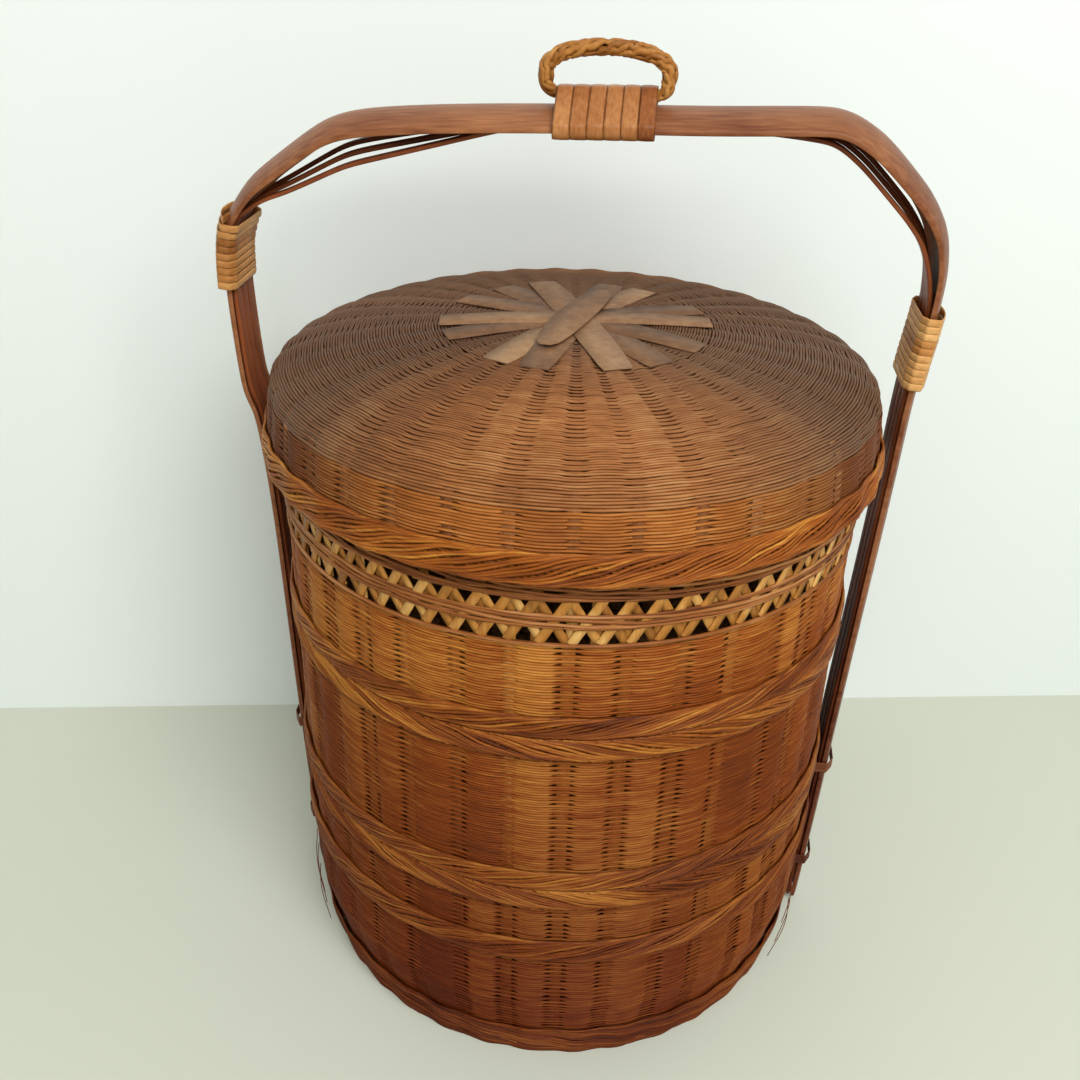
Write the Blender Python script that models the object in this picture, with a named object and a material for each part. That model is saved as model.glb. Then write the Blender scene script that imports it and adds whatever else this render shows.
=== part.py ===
"""Tiered bamboo food basket.

A base tray carries an arched bamboo handle. A middle tray, an upper tray with an
openwork collar and a domed lid stack inside the handle and lift off one by one.
A small cane carrying ring rocks under the wrap in the middle of the handle.
Units are metres, +Z is up, +X runs along the handle towards its right leg, and
the origin is on the floor, on the axis of the round trays.
"""

import math

import bmesh
import bpy
from mathutils import Matrix, Vector

MM = 0.001

# Woven walls, common to every tray
WALL_RADIUS = 129.2 * MM
WALL_THICKNESS = 2.4 * MM
BRAID_PROUD = 1.8 * MM
BRAID_BEVEL = 0.8 * MM
FLOOR_THICKNESS = 2.4 * MM
TOUCH_GAP = 0.3 * MM
ROUND_SEGMENTS = 36

# The weave stands out in one upright column on each corner of the walls. Between two of them it
# is open and lies deeper. Each pair is a share of the way to the next corner and a share of the depth.
COLUMN_DEPTH = 0.7 * MM
COLUMN_SHARES = ((0, 0), (0.24, 0), (0.27, 1), (0.73, 1), (0.76, 0))

# Spigots: the recessed foot of a tray, which drops into the tray below
SPIGOT_DEPTH = 7.0 * MM
SPIGOT_THICKNESS = 2.4 * MM
SPIGOT_CLEARANCE = 0.7 * MM

# Base tray
BASE_HEIGHT = 113.0 * MM
BASE_FOOT_TAPER = 8.8 * MM
BASE_TAPER_HEIGHT = 40.0 * MM
FOOT_BORDER_HEIGHT = 20.0 * MM
FOOT_BORDER_THICKNESS = 2.4 * MM
WAIST_BRAID_HEIGHT = 12.5 * MM
WAIST_TO_RIM = 19.3 * MM
RIM_BRAID_HEIGHT = 11.0 * MM
BASE_FLOOR_LIFT = 7.6 * MM
BATTEN_WIDTH = 22.0 * MM
BATTEN_THICKNESS = 2.6 * MM

# Middle and upper trays
MIDDLE_TRAY_HEIGHT = 80.9 * MM
UPPER_WALL_HEIGHT = 42.3 * MM
FOOT_BRAID_HEIGHT = 10.0 * MM

# Openwork collar of the upper tray
LATTICE_LOWER_ROW = 8.0 * MM
LATTICE_MIDDLE_BAND = 6.2 * MM
LATTICE_UPPER_ROW = 6.4 * MM
LATTICE_TOP_BAND = 8.4 * MM
LATTICE_THICKNESS = 2.0 * MM
LATTICE_FLARE = 1.8 * MM
LATTICE_SPLINT = 2.5 * MM
LATTICE_EDGE = 0.6 * MM
LATTICE_CELLS = 72
MOUTH_HOOP_HEIGHT = 5.2 * MM
MOUTH_HOOP_THICKNESS = 2.8 * MM

# Lid
LID_OVERHANG = 4.1 * MM
LID_RIM_FLARE = 2.2 * MM
LID_SIDE_HEIGHT = 28.4 * MM
LID_DOME_HEIGHT = 25.0 * MM
LID_DOME_POWER = 2.2
LID_DOME_STEPS = 8
LID_RIM_BRAID_HEIGHT = 13.4 * MM
LID_BRAID_DROP = 0.9 * MM
LID_HOOP_HEIGHT = 5.4 * MM
LID_HOOP_LAP = 3.4 * MM
STAR_RADIUS = 58.0 * MM
STAR_INNER_SHARE = 0.62
STAR_POINTS = 12
STAR_THICKNESS = 1.0 * MM
TIE_SPLINT_LENGTH = 40.0 * MM
TIE_SPLINT_WIDTH = 9.0 * MM
TIE_SPLINT_THICKNESS = 0.9 * MM
TIE_SPLINT_TURN = math.radians(52.0)

# Handle strap, a split of bamboo with a curved back
CROSSBAR_WIDTH = 37.0 * MM
CROSSBAR_WIDTH_FROM = 0.96
STRAP_WIDTH = 28.0 * MM
STRAP_FOOT_WIDTH = 23.0 * MM
STRAP_THICKNESS = 2.4 * MM
STRAP_ARCH = 4.0 * MM
STRAP_SECTION_SHARES = (-1, -0.6, 0, 0.6, 1)
LEG_FOOT_GAP = 0.8 * MM
LEG_WAIST_GAP = 0.4 * MM
LEG_SPLAY = 1.6 * MM
LEG_BOTTOM = 4.0 * MM
LEG_LID_CLEARANCE = 2.6 * MM
HANDLE_BOW = 6.7 * MM
HAND_ROOM = 88.5 * MM
STATION_RUN = 24.0 * MM
STATION_TURN = math.radians(7.0)
SPAN_STEPS = 24

# Corners of the handle, as shares of its half width and of the height between
# the lid's rim and the crossbar. The left corner is slacker and lower.
LEFT_CORNER_SHARES = (
    (-0.985, 0.093), (-1.0, 0.309), (-1.005, 0.488), (-0.985, 0.635), (-0.91, 0.76),
    (-0.815, 0.842), (-0.735, 0.908), (-0.632, 0.956), (-0.40, 0.985),
)
RIGHT_CORNER_SHARES = (
    (0.40, 1.012), (0.66, 1.016), (0.775, 0.955), (0.86, 0.87), (0.922, 0.795),
    (0.968, 0.706), (0.988, 0.598), (0.985, 0.472), (0.962, 0.219),
)

# Three narrow splints under the strap, which bend tighter at the corners
SPLINT_WIDTH = 6.4 * MM
SPLINT_THICKNESS = 2.0 * MM
SPLINT_SPACING = 6.9 * MM
LEFT_CORNER_GAP = 13.0 * MM
RIGHT_CORNER_GAP = 8.5 * MM
LEFT_GAP_SKEW = 0.8
LEFT_GAP_SHARPNESS = 1.4
RIGHT_GAP_SKEW = 1.4
RIGHT_GAP_SHARPNESS = 1.2
SPLINT_GAP_SHARES = {"front": 1.1, "middle": 0.85, "back": 0.62}

# Cane bindings on the legs and the wrap in the middle. A binding's place is a rise above the lid's rim.
BINDING_THICKNESS = 1.7 * MM
BINDING_CLEARANCE = 0.4 * MM
BINDING_LENGTH = 31.0 * MM
LEFT_BINDING_RISE = 79.0 * MM
RIGHT_BINDING_RISE = 51.0 * MM
WRAP_CENTRE = 9.0 * MM
WRAP_LENGTH = 39.0 * MM
WRAP_THICKNESS = 1.3 * MM
WRAP_HUMP_SPREAD = 2.0
WRAP_HUMP_FULLNESS = 1.33
OUTLINE_STEPS = 12
OUTLINE_INNER_SHARE = 0.62
SLEEVE_STATIONS = 5

# Lashings that tie the legs to the base tray through slots in its wall. The upper
# one's place is a rise above the waist braid.
LASHING_HEIGHT = 6.0 * MM
LASHING_THICKNESS = 1.5 * MM
LASHING_CLEARANCE = 0.4 * MM
LASHING_ROUNDING_POWER = 4
LOWER_LASHING_LEVEL = 33.0 * MM
UPPER_LASHING_RISE = 14.0 * MM
SLOT_CLEARANCE = 0.5 * MM
SLOT_CUT_OVERRUN = 8.4 * MM

# Carrying ring of twisted cane
RING_WIDTH = 60.0 * MM
RING_RISE = 24.0 * MM
RING_THICKNESS = 8.8 * MM
RING_CHORD_THICKNESS = 3.2 * MM
RING_TOP_POWER = 2.2
RING_CHORD_POWER = 6.0
RING_STATIONS = 32
RING_SIDES = 8
RING_AHEAD_TURN = math.radians(1.0)
RING_CLEARANCE = 0.8 * MM

MERGE_DISTANCE = 0.001 * MM
SMOOTH_ANGLE = math.radians(35.0)

# Levels and radii worked out from the sizes above
wall_inside = WALL_RADIUS - WALL_THICKNESS
braid_radius = WALL_RADIUS + TOUCH_GAP + BRAID_PROUD
waist_braid_top = BASE_HEIGHT - RIM_BRAID_HEIGHT - WAIST_TO_RIM
waist_braid_bottom = waist_braid_top - WAIST_BRAID_HEIGHT
upper_lashing_level = waist_braid_top + UPPER_LASHING_RISE
middle_bottom = BASE_HEIGHT + TOUCH_GAP
middle_top = middle_bottom + MIDDLE_TRAY_HEIGHT
upper_bottom = middle_top + TOUCH_GAP
upper_wall_top = upper_bottom + UPPER_WALL_HEIGHT
lattice_bottom = upper_wall_top + TOUCH_GAP
lattice_height = LATTICE_LOWER_ROW + LATTICE_MIDDLE_BAND + LATTICE_UPPER_ROW + LATTICE_TOP_BAND
lattice_top = lattice_bottom + lattice_height
hoop_bottom = lattice_top + TOUCH_GAP
hoop_top = hoop_bottom + MOUTH_HOOP_HEIGHT
lid_bottom = lattice_top + LID_BRAID_DROP
lid_shoulder = lid_bottom + LID_SIDE_HEIGHT
lid_top = lid_shoulder + LID_DOME_HEIGHT
lid_shoulder_radius = WALL_RADIUS + LID_OVERHANG
lid_rim_radius = lid_shoulder_radius + LID_RIM_FLARE
lid_braid_radius = lid_rim_radius + TOUCH_GAP + BRAID_PROUD

# Depth of the strap with the splints tucked inside its curved back
splint_reach = SPLINT_SPACING + SPLINT_WIDTH / 2
splint_drop = STRAP_ARCH * (splint_reach / (STRAP_WIDTH / 2)) ** 2
stack_depth = STRAP_THICKNESS + splint_drop + TOUCH_GAP + SPLINT_THICKNESS
foot_radius = WALL_RADIUS - BASE_FOOT_TAPER
border_top_radius = foot_radius + BASE_FOOT_TAPER * FOOT_BORDER_HEIGHT / BASE_TAPER_HEIGHT
leg_foot_x = border_top_radius + TOUCH_GAP + FOOT_BORDER_THICKNESS + LEG_FOOT_GAP + stack_depth
leg_waist_x = braid_radius + LEG_WAIST_GAP + stack_depth
leg_lid_x = lid_braid_radius + LEG_LID_CLEARANCE + stack_depth
handle_half_width = leg_lid_x + HANDLE_BOW
crossbar_level = lid_top + HAND_ROOM
left_binding_level = lid_bottom + LEFT_BINDING_RISE
right_binding_level = lid_bottom + RIGHT_BINDING_RISE
strap_widens_from = right_binding_level + BINDING_LENGTH / 2
strap_widens_to = lid_bottom + (crossbar_level - lid_bottom) * CROSSBAR_WIDTH_FROM


def clear_scene():
    """Remove every object, so that the script can be run again."""
    for old in list(bpy.data.objects):
        bpy.data.objects.remove(old, do_unlink=True)


def make_material(name, colour, roughness):
    """A plain finish in one colour."""
    material = bpy.data.materials.new(name)
    material.use_nodes = True
    shader = material.node_tree.nodes["Principled BSDF"]
    shader.inputs["Base Color"].default_value = (*colour, 1.0)
    shader.inputs["Roughness"].default_value = roughness
    shader.inputs["Metallic"].default_value = 0.0
    return material


def make_body(name, origin):
    """An empty on the joint of one moving body, which carries its pieces."""
    body = bpy.data.objects.new(name, None)
    body.location = origin
    bpy.context.collection.objects.link(body)
    return body


def finish_piece(name, shape, body, material):
    """Turn a bmesh in world coordinates into a named object on its body."""
    bmesh.ops.recalc_face_normals(shape, faces=shape.faces)
    mesh = bpy.data.meshes.new(name)
    shape.to_mesh(mesh)
    shape.free()
    mesh.transform(Matrix.Translation(-body.location))
    mesh.materials.append(material)
    mesh.shade_smooth()
    mesh.set_sharp_from_angle(angle=SMOOTH_ANGLE)
    piece = bpy.data.objects.new(name, mesh)
    bpy.context.collection.objects.link(piece)
    piece.parent = body
    return piece


def turned(profile):
    """Spin a closed outline of (radius, height) points about the Z axis."""
    shape = bmesh.new()
    points = [shape.verts.new((radius, 0, height)) for radius, height in profile]
    edges = []
    for first, second in zip(points, points[1:] + points[:1]):
        if first.co.x > 0 or second.co.x > 0:
            edges.append(shape.edges.new((first, second)))
    bmesh.ops.spin(
        shape, geom=points + edges, cent=(0, 0, 0), axis=(0, 0, 1),
        angle=math.tau, steps=ROUND_SEGMENTS, use_duplicate=False,
    )
    bmesh.ops.remove_doubles(shape, verts=shape.verts, dist=MERGE_DISTANCE)
    return shape


def outline_facing(outline, index):
    """Which way an outline faces at one of its points, level at both ends."""
    if index in (0, len(outline) - 1):
        return Vector((1, 0))
    ahead = (Vector(outline[index + 1]) - Vector(outline[index - 1])).normalized()
    return Vector((ahead.y, -ahead.x))


def plain_ring(shape, radius, level):
    """One ring of vertices, or a single one on the axis."""
    if radius == 0:
        return [shape.verts.new((0, 0, level))]
    turns = [math.tau * corner / ROUND_SEGMENTS for corner in range(ROUND_SEGMENTS)]
    return [shape.verts.new((radius * math.cos(turn), radius * math.sin(turn), level)) for turn in turns]


def column_ring(shape, radius, level, facing):
    """One ring of the weave's outer face, which lies deeper between the upright columns."""
    if radius == 0:
        return plain_ring(shape, radius, level)
    ring = []
    for corner in range(ROUND_SEGMENTS):
        turns = [math.tau * (corner + share) / ROUND_SEGMENTS for share in (0, 0.5, 1)]
        near, middle, far = [Vector((math.cos(turn), math.sin(turn), 0)) for turn in turns]
        inwards = -COLUMN_DEPTH * (middle * facing.x + Vector((0, 0, facing.y)))
        for way, depth in COLUMN_SHARES:
            face = near.lerp(far, way) * radius + Vector((0, 0, level))
            ring.append(shape.verts.new(face + inwards * depth))
    return ring


def woven_shell(outer, inner):
    """A wall with columns of weave outside and a plain face inside, from outlines that run upwards."""
    shape = bmesh.new()
    faces_out = [column_ring(shape, *point, outline_facing(outer, index)) for index, point in enumerate(outer)]
    faces_in = [plain_ring(shape, *point) for point in inner]
    for rings in (faces_out, faces_in):
        for near, far in zip(rings, rings[1:]):
            if len(far) == 1:
                close_top(shape, near, far[0])
            else:
                bridge(shape, near, far)
    for end in (0, -1):
        if len(faces_out[end]) > 1:
            join_rims(shape, faces_out[end], faces_in[end])
    return shape


def close_top(shape, ring, tip):
    """Faces from a ring to the vertex on the axis."""
    for index, vertex in enumerate(ring):
        shape.faces.new((vertex, ring[(index + 1) % len(ring)], tip))


def join_rims(shape, outer, inner):
    """The level face between an outer ring with columns and a plain inner ring."""
    steps = len(COLUMN_SHARES)
    for corner in range(ROUND_SEGMENTS):
        span = [outer[(corner * steps + step) % len(outer)] for step in range(steps + 1)]
        shape.faces.new([inner[corner], *span, inner[(corner + 1) % ROUND_SEGMENTS]])


def braid_profile(inner_low, inner_high, low, high, proud):
    """Outline of a braided band that lies on a wall from level low to level high."""
    bevel = min(BRAID_BEVEL, proud / 2, (high - low) / 4)
    return [
        (inner_low, low),
        (inner_low + proud - bevel, low),
        (inner_low + proud, low + bevel),
        (inner_high + proud, high - bevel),
        (inner_high + proud - bevel, high),
        (inner_high, high),
    ]


def base_radius_at(level):
    """Outside radius of the base wall, which tapers in towards its foot."""
    rise = min(level / BASE_TAPER_HEIGHT, 1)
    return foot_radius + BASE_FOOT_TAPER * rise


def make_base_wall(body, material):
    """The woven wall of the base tray, with slots for the four lashings."""
    taper_top = BASE_TAPER_HEIGHT
    outer = [(foot_radius, 0), (WALL_RADIUS, taper_top), (WALL_RADIUS, BASE_HEIGHT)]
    inner = [(radius - WALL_THICKNESS, level) for radius, level in outer]
    wall = finish_piece("base_wall", woven_shell(outer, inner), body, material)
    cutter = make_slot_cutter(body, material)
    cut = wall.modifiers.new("lashing slots", "BOOLEAN")
    cut.operation = "DIFFERENCE"
    cut.solver = "EXACT"
    cut.object = cutter


def make_slot_cutter(body, material):
    """Boxes where the lashings pass through the base wall."""
    shape = bmesh.new()
    depth = WALL_THICKNESS + 2 * SLOT_CUT_OVERRUN
    height = LASHING_HEIGHT + 2 * SLOT_CLEARANCE
    for level in (LOWER_LASHING_LEVEL, upper_lashing_level):
        outline_half = lashing_half_width(level)
        slot_low = outline_half - LASHING_THICKNESS - SLOT_CLEARANCE
        slot_high = outline_half + SLOT_CLEARANCE
        radius = base_radius_at(level)
        for side in (-1, 1):
            for flank in (-1, 1):
                centre = Vector((side * radius, flank * (slot_low + slot_high) / 2, level))
                size = Vector((depth, slot_high - slot_low, height))
                place = Matrix.Translation(centre) @ Matrix.Diagonal((*size, 1.0))
                bmesh.ops.create_cube(shape, size=1.0, matrix=place)
    cutter = finish_piece("lashing_slot_cutter", shape, body, material)
    cutter.hide_render = True
    cutter.display_type = "WIRE"
    return cutter


def make_foot_border(body, material):
    """The thick woven border that the basket stands on."""
    top = FOOT_BORDER_HEIGHT
    inner_low = foot_radius + TOUCH_GAP
    inner_high = base_radius_at(top) + TOUCH_GAP
    bevel = BRAID_BEVEL
    thick = FOOT_BORDER_THICKNESS
    profile = [
        (inner_low, 0), (inner_low + thick, 0), (inner_high + thick, top - bevel),
        (inner_high + thick - bevel, top), (inner_high, top),
    ]
    finish_piece("base_foot_border", turned(profile), body, material)


def make_floor(name, radius, bottom, body, material):
    """A woven floor disc."""
    top = bottom + FLOOR_THICKNESS
    profile = [(0, bottom), (radius, bottom), (radius, top), (0, top)]
    finish_piece(name, turned(profile), body, material)


def make_battens(body, material):
    """Two flat bamboo battens that cross under the base floor."""
    upper_top = BASE_FLOOR_LIFT - TOUCH_GAP
    lower_top = upper_top - BATTEN_THICKNESS - TOUCH_GAP
    for name, top, turn in (("upper", upper_top, 0), ("lower", lower_top, math.pi / 2)):
        bottom = top - BATTEN_THICKNESS
        inside = base_radius_at(bottom) - WALL_THICKNESS - TOUCH_GAP
        facet = math.cos(math.pi / ROUND_SEGMENTS)
        reach = math.sqrt((inside * facet) ** 2 - (BATTEN_WIDTH / 2) ** 2)
        size = Vector((2 * reach, BATTEN_WIDTH, BATTEN_THICKNESS))
        centre = Vector((0, 0, (top + bottom) / 2))
        place = Matrix.Translation(centre) @ Matrix.Rotation(turn, 4, "Z") @ Matrix.Diagonal((*size, 1.0))
        shape = bmesh.new()
        bmesh.ops.create_cube(shape, size=1.0, matrix=place)
        finish_piece("base_batten_" + name, shape, body, material)


def make_braid(name, bottom, height, body, material):
    """A braided band around a straight wall."""
    inner = WALL_RADIUS + TOUCH_GAP
    profile = braid_profile(inner, inner, bottom, bottom + height, BRAID_PROUD)
    finish_piece(name, turned(profile), body, material)


def make_ring_wall(name, radius, thickness, bottom, top, body, material):
    """A plain upright ring."""
    profile = [(radius - thickness, bottom), (radius, bottom), (radius, top), (radius - thickness, top)]
    finish_piece(name, turned(profile), body, material)


def make_tray(prefix, bottom, wall_height, body, materials):
    """Wall, floor, spigot and foot braid of one lift-off tray."""
    top = bottom + wall_height
    outer = [(WALL_RADIUS, bottom), (WALL_RADIUS, top)]
    inner = [(wall_inside, bottom), (wall_inside, top)]
    finish_piece(prefix + "_wall", woven_shell(outer, inner), body, materials["weave"])
    make_floor(prefix + "_floor", wall_inside - TOUCH_GAP, bottom, body, materials["weave"])
    spigot_radius = wall_inside - SPIGOT_CLEARANCE
    make_ring_wall(
        prefix + "_spigot", spigot_radius, SPIGOT_THICKNESS,
        bottom - SPIGOT_DEPTH, bottom - TOUCH_GAP, body, materials["splint"],
    )
    make_braid(prefix + "_foot_braid", bottom, FOOT_BRAID_HEIGHT, body, materials["braid"])


def lattice_radius_at(level):
    """Outside radius of the openwork collar, which flares towards its top."""
    rise = (level - lattice_bottom) / lattice_height
    return WALL_RADIUS + LATTICE_FLARE * rise


def make_lattice(body, material):
    """The openwork collar: two rows of three-cornered openings with a band between."""
    row_one = lattice_bottom + LATTICE_LOWER_ROW
    row_two = row_one + LATTICE_MIDDLE_BAND
    row_three = row_two + LATTICE_UPPER_ROW
    levels = (lattice_bottom, row_one, row_two, row_three, lattice_top)
    pitch = math.tau / LATTICE_CELLS
    shape = bmesh.new()

    def corner(turn, level, inset):
        radius = lattice_radius_at(level) - inset
        return shape.verts.new((radius * math.cos(turn), radius * math.sin(turn), level))

    skins = {}
    for inset in (0, LATTICE_THICKNESS):
        rings = [[corner(cell * pitch, level, inset) for cell in range(LATTICE_CELLS)] for level in levels]
        holes = []
        margin = LATTICE_SPLINT / WALL_RADIUS / 2
        for row, point_up in ((0, True), (2, False)):
            wide_level = levels[row] + LATTICE_EDGE if point_up else levels[row + 1] - LATTICE_EDGE
            tip_level = levels[row + 1] - LATTICE_EDGE if point_up else levels[row] + LATTICE_EDGE
            for cell in range(LATTICE_CELLS):
                start = cell * pitch
                hole = (
                    corner(start + margin, wide_level, inset),
                    corner(start + pitch - margin, wide_level, inset),
                    corner(start + pitch / 2, tip_level, inset),
                )
                holes.append(hole)
                close_cell(shape, rings, row, cell, hole, point_up)
        for row in (1, 3):
            for cell in range(LATTICE_CELLS):
                shape.faces.new(cell_corners(rings, row, cell))
        skins[inset] = (rings, holes)
    join_lattice_skins(shape, skins[0], skins[LATTICE_THICKNESS])
    finish_piece("upper_tray_lattice", shape, body, material)


def cell_corners(rings, row, cell):
    """The four corners of one cell, from the low left one round."""
    following = (cell + 1) % LATTICE_CELLS
    return (rings[row][cell], rings[row][following], rings[row + 1][following], rings[row + 1][cell])


def close_cell(shape, rings, row, cell, hole, point_up):
    """Faces of one skin around one three-cornered opening."""
    low_left, low_right, high_right, high_left = cell_corners(rings, row, cell)
    left, right, tip = hole
    if point_up:
        wide_left, wide_right, far_right, far_left = low_left, low_right, high_right, high_left
    else:
        wide_left, wide_right, far_right, far_left = high_left, high_right, low_right, low_left
    shape.faces.new((wide_left, wide_right, right, left))
    shape.faces.new((wide_right, far_right, tip, right))
    shape.faces.new((far_right, far_left, tip))
    shape.faces.new((far_left, wide_left, left, tip))


def join_lattice_skins(shape, outer, inner):
    """Walls between the outer and inner skin: round each opening and at both ends."""
    for outer_hole, inner_hole in zip(outer[1], inner[1]):
        for first in range(3):
            second = (first + 1) % 3
            shape.faces.new((outer_hole[first], outer_hole[second], inner_hole[second], inner_hole[first]))
    for level in (0, -1):
        outer_ring = outer[0][level]
        inner_ring = inner[0][level]
        for cell in range(LATTICE_CELLS):
            following = (cell + 1) % LATTICE_CELLS
            shape.faces.new((outer_ring[cell], outer_ring[following], inner_ring[following], inner_ring[cell]))


def make_mouth_hoop(body, material):
    """The bamboo hoop that stiffens the mouth of the upper tray."""
    radius = lattice_radius_at(lattice_top)
    make_ring_wall("upper_tray_mouth_hoop", radius, MOUTH_HOOP_THICKNESS, hoop_bottom, hoop_top, body, material)


def dome_level(radius, outer_radius, shoulder, height):
    """Height of a low dome whose outline is a rounded power curve."""
    share = min(radius / outer_radius, 1)
    return shoulder + height * (1 - share ** LID_DOME_POWER) ** (1 / LID_DOME_POWER)


def dome_profile(outer_radius, shoulder, height):
    """Points of the dome from its shoulder to the top, closer together near the shoulder."""
    points = []
    for step in range(LID_DOME_STEPS + 1):
        turn = math.pi / 2 * step / LID_DOME_STEPS
        radius = outer_radius * math.cos(turn) ** (2 / LID_DOME_POWER) if step < LID_DOME_STEPS else 0
        points.append((radius, dome_level(radius, outer_radius, shoulder, height)))
    return points


def make_lid_shell(body, material):
    """The woven lid: a gently flared side under a low dome."""
    side_bottom = lid_bottom + LID_BRAID_DROP
    inner_dome = dome_profile(lid_shoulder_radius - WALL_THICKNESS, lid_shoulder, LID_DOME_HEIGHT - WALL_THICKNESS)
    outer_dome = dome_profile(lid_shoulder_radius, lid_shoulder, LID_DOME_HEIGHT)
    outer = [(lid_rim_radius, side_bottom), *outer_dome]
    inner = [(lid_rim_radius - WALL_THICKNESS, side_bottom), *inner_dome]
    finish_piece("lid_shell", woven_shell(outer, inner), body, material)


def lid_radius_at(level):
    """Outside radius of the lid's flared side."""
    rise = (level - lid_bottom) / LID_SIDE_HEIGHT
    return lid_rim_radius - LID_RIM_FLARE * rise


def make_lid_rim(body, materials):
    """The braid round the lid's rim and the hoop inside that sits on the upper tray."""
    top = lid_bottom + LID_RIM_BRAID_HEIGHT
    inner_low = lid_rim_radius + TOUCH_GAP
    inner_high = lid_radius_at(top) + TOUCH_GAP
    profile = braid_profile(inner_low, inner_high, lid_bottom, top, BRAID_PROUD)
    finish_piece("lid_rim_braid", turned(profile), body, materials["braid"])
    hoop_low = hoop_top + TOUCH_GAP
    hoop_high = hoop_low + LID_HOOP_HEIGHT
    hoop_outside = lid_radius_at(hoop_high) - WALL_THICKNESS - TOUCH_GAP
    hoop_inside = lattice_radius_at(lattice_top) - LID_HOOP_LAP
    thickness = hoop_outside - hoop_inside
    make_ring_wall("lid_inner_hoop", hoop_outside, thickness, hoop_low, hoop_high, body, materials["splint"])


def make_lid_star(body, material):
    """Wide splints that cross in a star on top of the lid."""
    lift = TOUCH_GAP
    shape = bmesh.new()
    skins = []
    for rise in (lift, lift + STAR_THICKNESS):
        centre = shape.verts.new((0, 0, lid_top + rise))
        middle = []
        rim = []
        for point in range(2 * STAR_POINTS):
            turn = math.pi * point / STAR_POINTS
            reach = STAR_RADIUS * (1 if point % 2 == 0 else STAR_INNER_SHARE)
            for ring, radius in ((middle, reach / 2), (rim, reach)):
                level = dome_level(radius, lid_shoulder_radius, lid_shoulder, LID_DOME_HEIGHT) + rise
                ring.append(shape.verts.new((radius * math.cos(turn), radius * math.sin(turn), level)))
        skins.append((centre, middle, rim))
    count = 2 * STAR_POINTS
    for centre, middle, rim in skins:
        for point in range(count):
            following = (point + 1) % count
            shape.faces.new((centre, middle[point], middle[following]))
            shape.faces.new((middle[point], rim[point], rim[following], middle[following]))
    for point in range(count):
        following = (point + 1) % count
        low, high = skins[0][2], skins[1][2]
        shape.faces.new((low[point], low[following], high[following], high[point]))
    finish_piece("lid_star_splints", shape, body, material)


def make_tie_splint(body, material):
    """One short wide splint that holds the star down, laid slantwise over its centre."""
    bottom = lid_top + TOUCH_GAP + STAR_THICKNESS + TOUCH_GAP
    size = Vector((TIE_SPLINT_LENGTH, TIE_SPLINT_WIDTH, TIE_SPLINT_THICKNESS))
    centre = Vector((0, 0, bottom + TIE_SPLINT_THICKNESS / 2))
    place = Matrix.Translation(centre) @ Matrix.Rotation(TIE_SPLINT_TURN, 4, "Z") @ Matrix.Diagonal((*size, 1.0))
    shape = bmesh.new()
    bmesh.ops.create_cube(shape, size=1.0, matrix=place)
    finish_piece("lid_tie_splint", shape, body, material)


def handle_points():
    """Points that the handle's back passes through, from the left foot to the right foot."""
    legs = [(leg_foot_x, LEG_BOTTOM), (leg_waist_x, waist_braid_bottom), (leg_waist_x + LEG_SPLAY, BASE_HEIGHT)]
    legs.append((leg_lid_x, lid_bottom))
    rise = crossbar_level - lid_bottom
    left = [Vector((-x, z)) for x, z in legs]
    right = [Vector((x, z)) for x, z in reversed(legs)]
    corners = LEFT_CORNER_SHARES + RIGHT_CORNER_SHARES
    arch = [Vector((x * handle_half_width, lid_bottom + z * rise)) for x, z in corners]
    return left + arch + right


def smooth_path(points):
    """A dense smooth curve through points (a centripetal Catmull-Rom spline)."""
    ends = [2 * points[0] - points[1]] + list(points) + [2 * points[-1] - points[-2]]
    dense = []
    for first, start, end, last in zip(ends, ends[1:], ends[2:], ends[3:]):
        knots = [0.0]
        for near, far in ((first, start), (start, end), (end, last)):
            knots.append(knots[-1] + math.sqrt((far - near).length))
        for step in range(SPAN_STEPS):
            t = knots[1] + (knots[2] - knots[1]) * step / SPAN_STEPS
            dense.append(spline_point((first, start, end, last), knots, t))
    dense.append(points[-1].copy())
    return dense


def blend(low, high, low_knot, high_knot, t):
    """The point between two points at a place between their knots."""
    return low.lerp(high, (t - low_knot) / (high_knot - low_knot))


def spline_point(points, knots, t):
    """One point of a Catmull-Rom span, by blending neighbours three times."""
    first, start, end, last = points
    near = blend(first, start, knots[0], knots[1], t)
    middle = blend(start, end, knots[1], knots[2], t)
    far = blend(end, last, knots[2], knots[3], t)
    early = blend(near, middle, knots[0], knots[2], t)
    late = blend(middle, far, knots[1], knots[3], t)
    return blend(early, late, knots[1], knots[2], t)


class Station:
    """One place on the handle's path: the point, its directions and its distance along."""

    def __init__(self, point, tangent, distance):
        self.point = point
        self.tangent = tangent
        self.outward = Vector((-tangent.y, tangent.x))
        self.distance = distance

    def place(self, across, outwards, along=0):
        """World point at a place across the handle, outwards from its back, and along it."""
        flat = self.point + self.outward * outwards + self.tangent * along
        return Vector((flat.x, across, flat.y))


def handle_stations():
    """Every station of the dense handle path."""
    dense = smooth_path(handle_points())
    stations = []
    distance = 0
    for index, point in enumerate(dense):
        before = dense[max(index - 1, 0)]
        after = dense[min(index + 1, len(dense) - 1)]
        if index > 0:
            distance += (point - before).length
        stations.append(Station(point, (after - before).normalized(), distance))
    return stations


def thin_out(stations, needed):
    """Keep the stations that the shape needs, a bend step or a long run apart, and add those needed."""
    kept = [stations[0]]
    for station in stations[1:-1]:
        turned_by = kept[-1].tangent.angle(station.tangent)
        if turned_by > STATION_TURN or station.distance - kept[-1].distance > STATION_RUN:
            kept.append(station)
    kept.append(stations[-1])
    kept += [station_at(stations, distance) for distance in needed]
    return sorted(kept, key=lambda station: station.distance)


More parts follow.
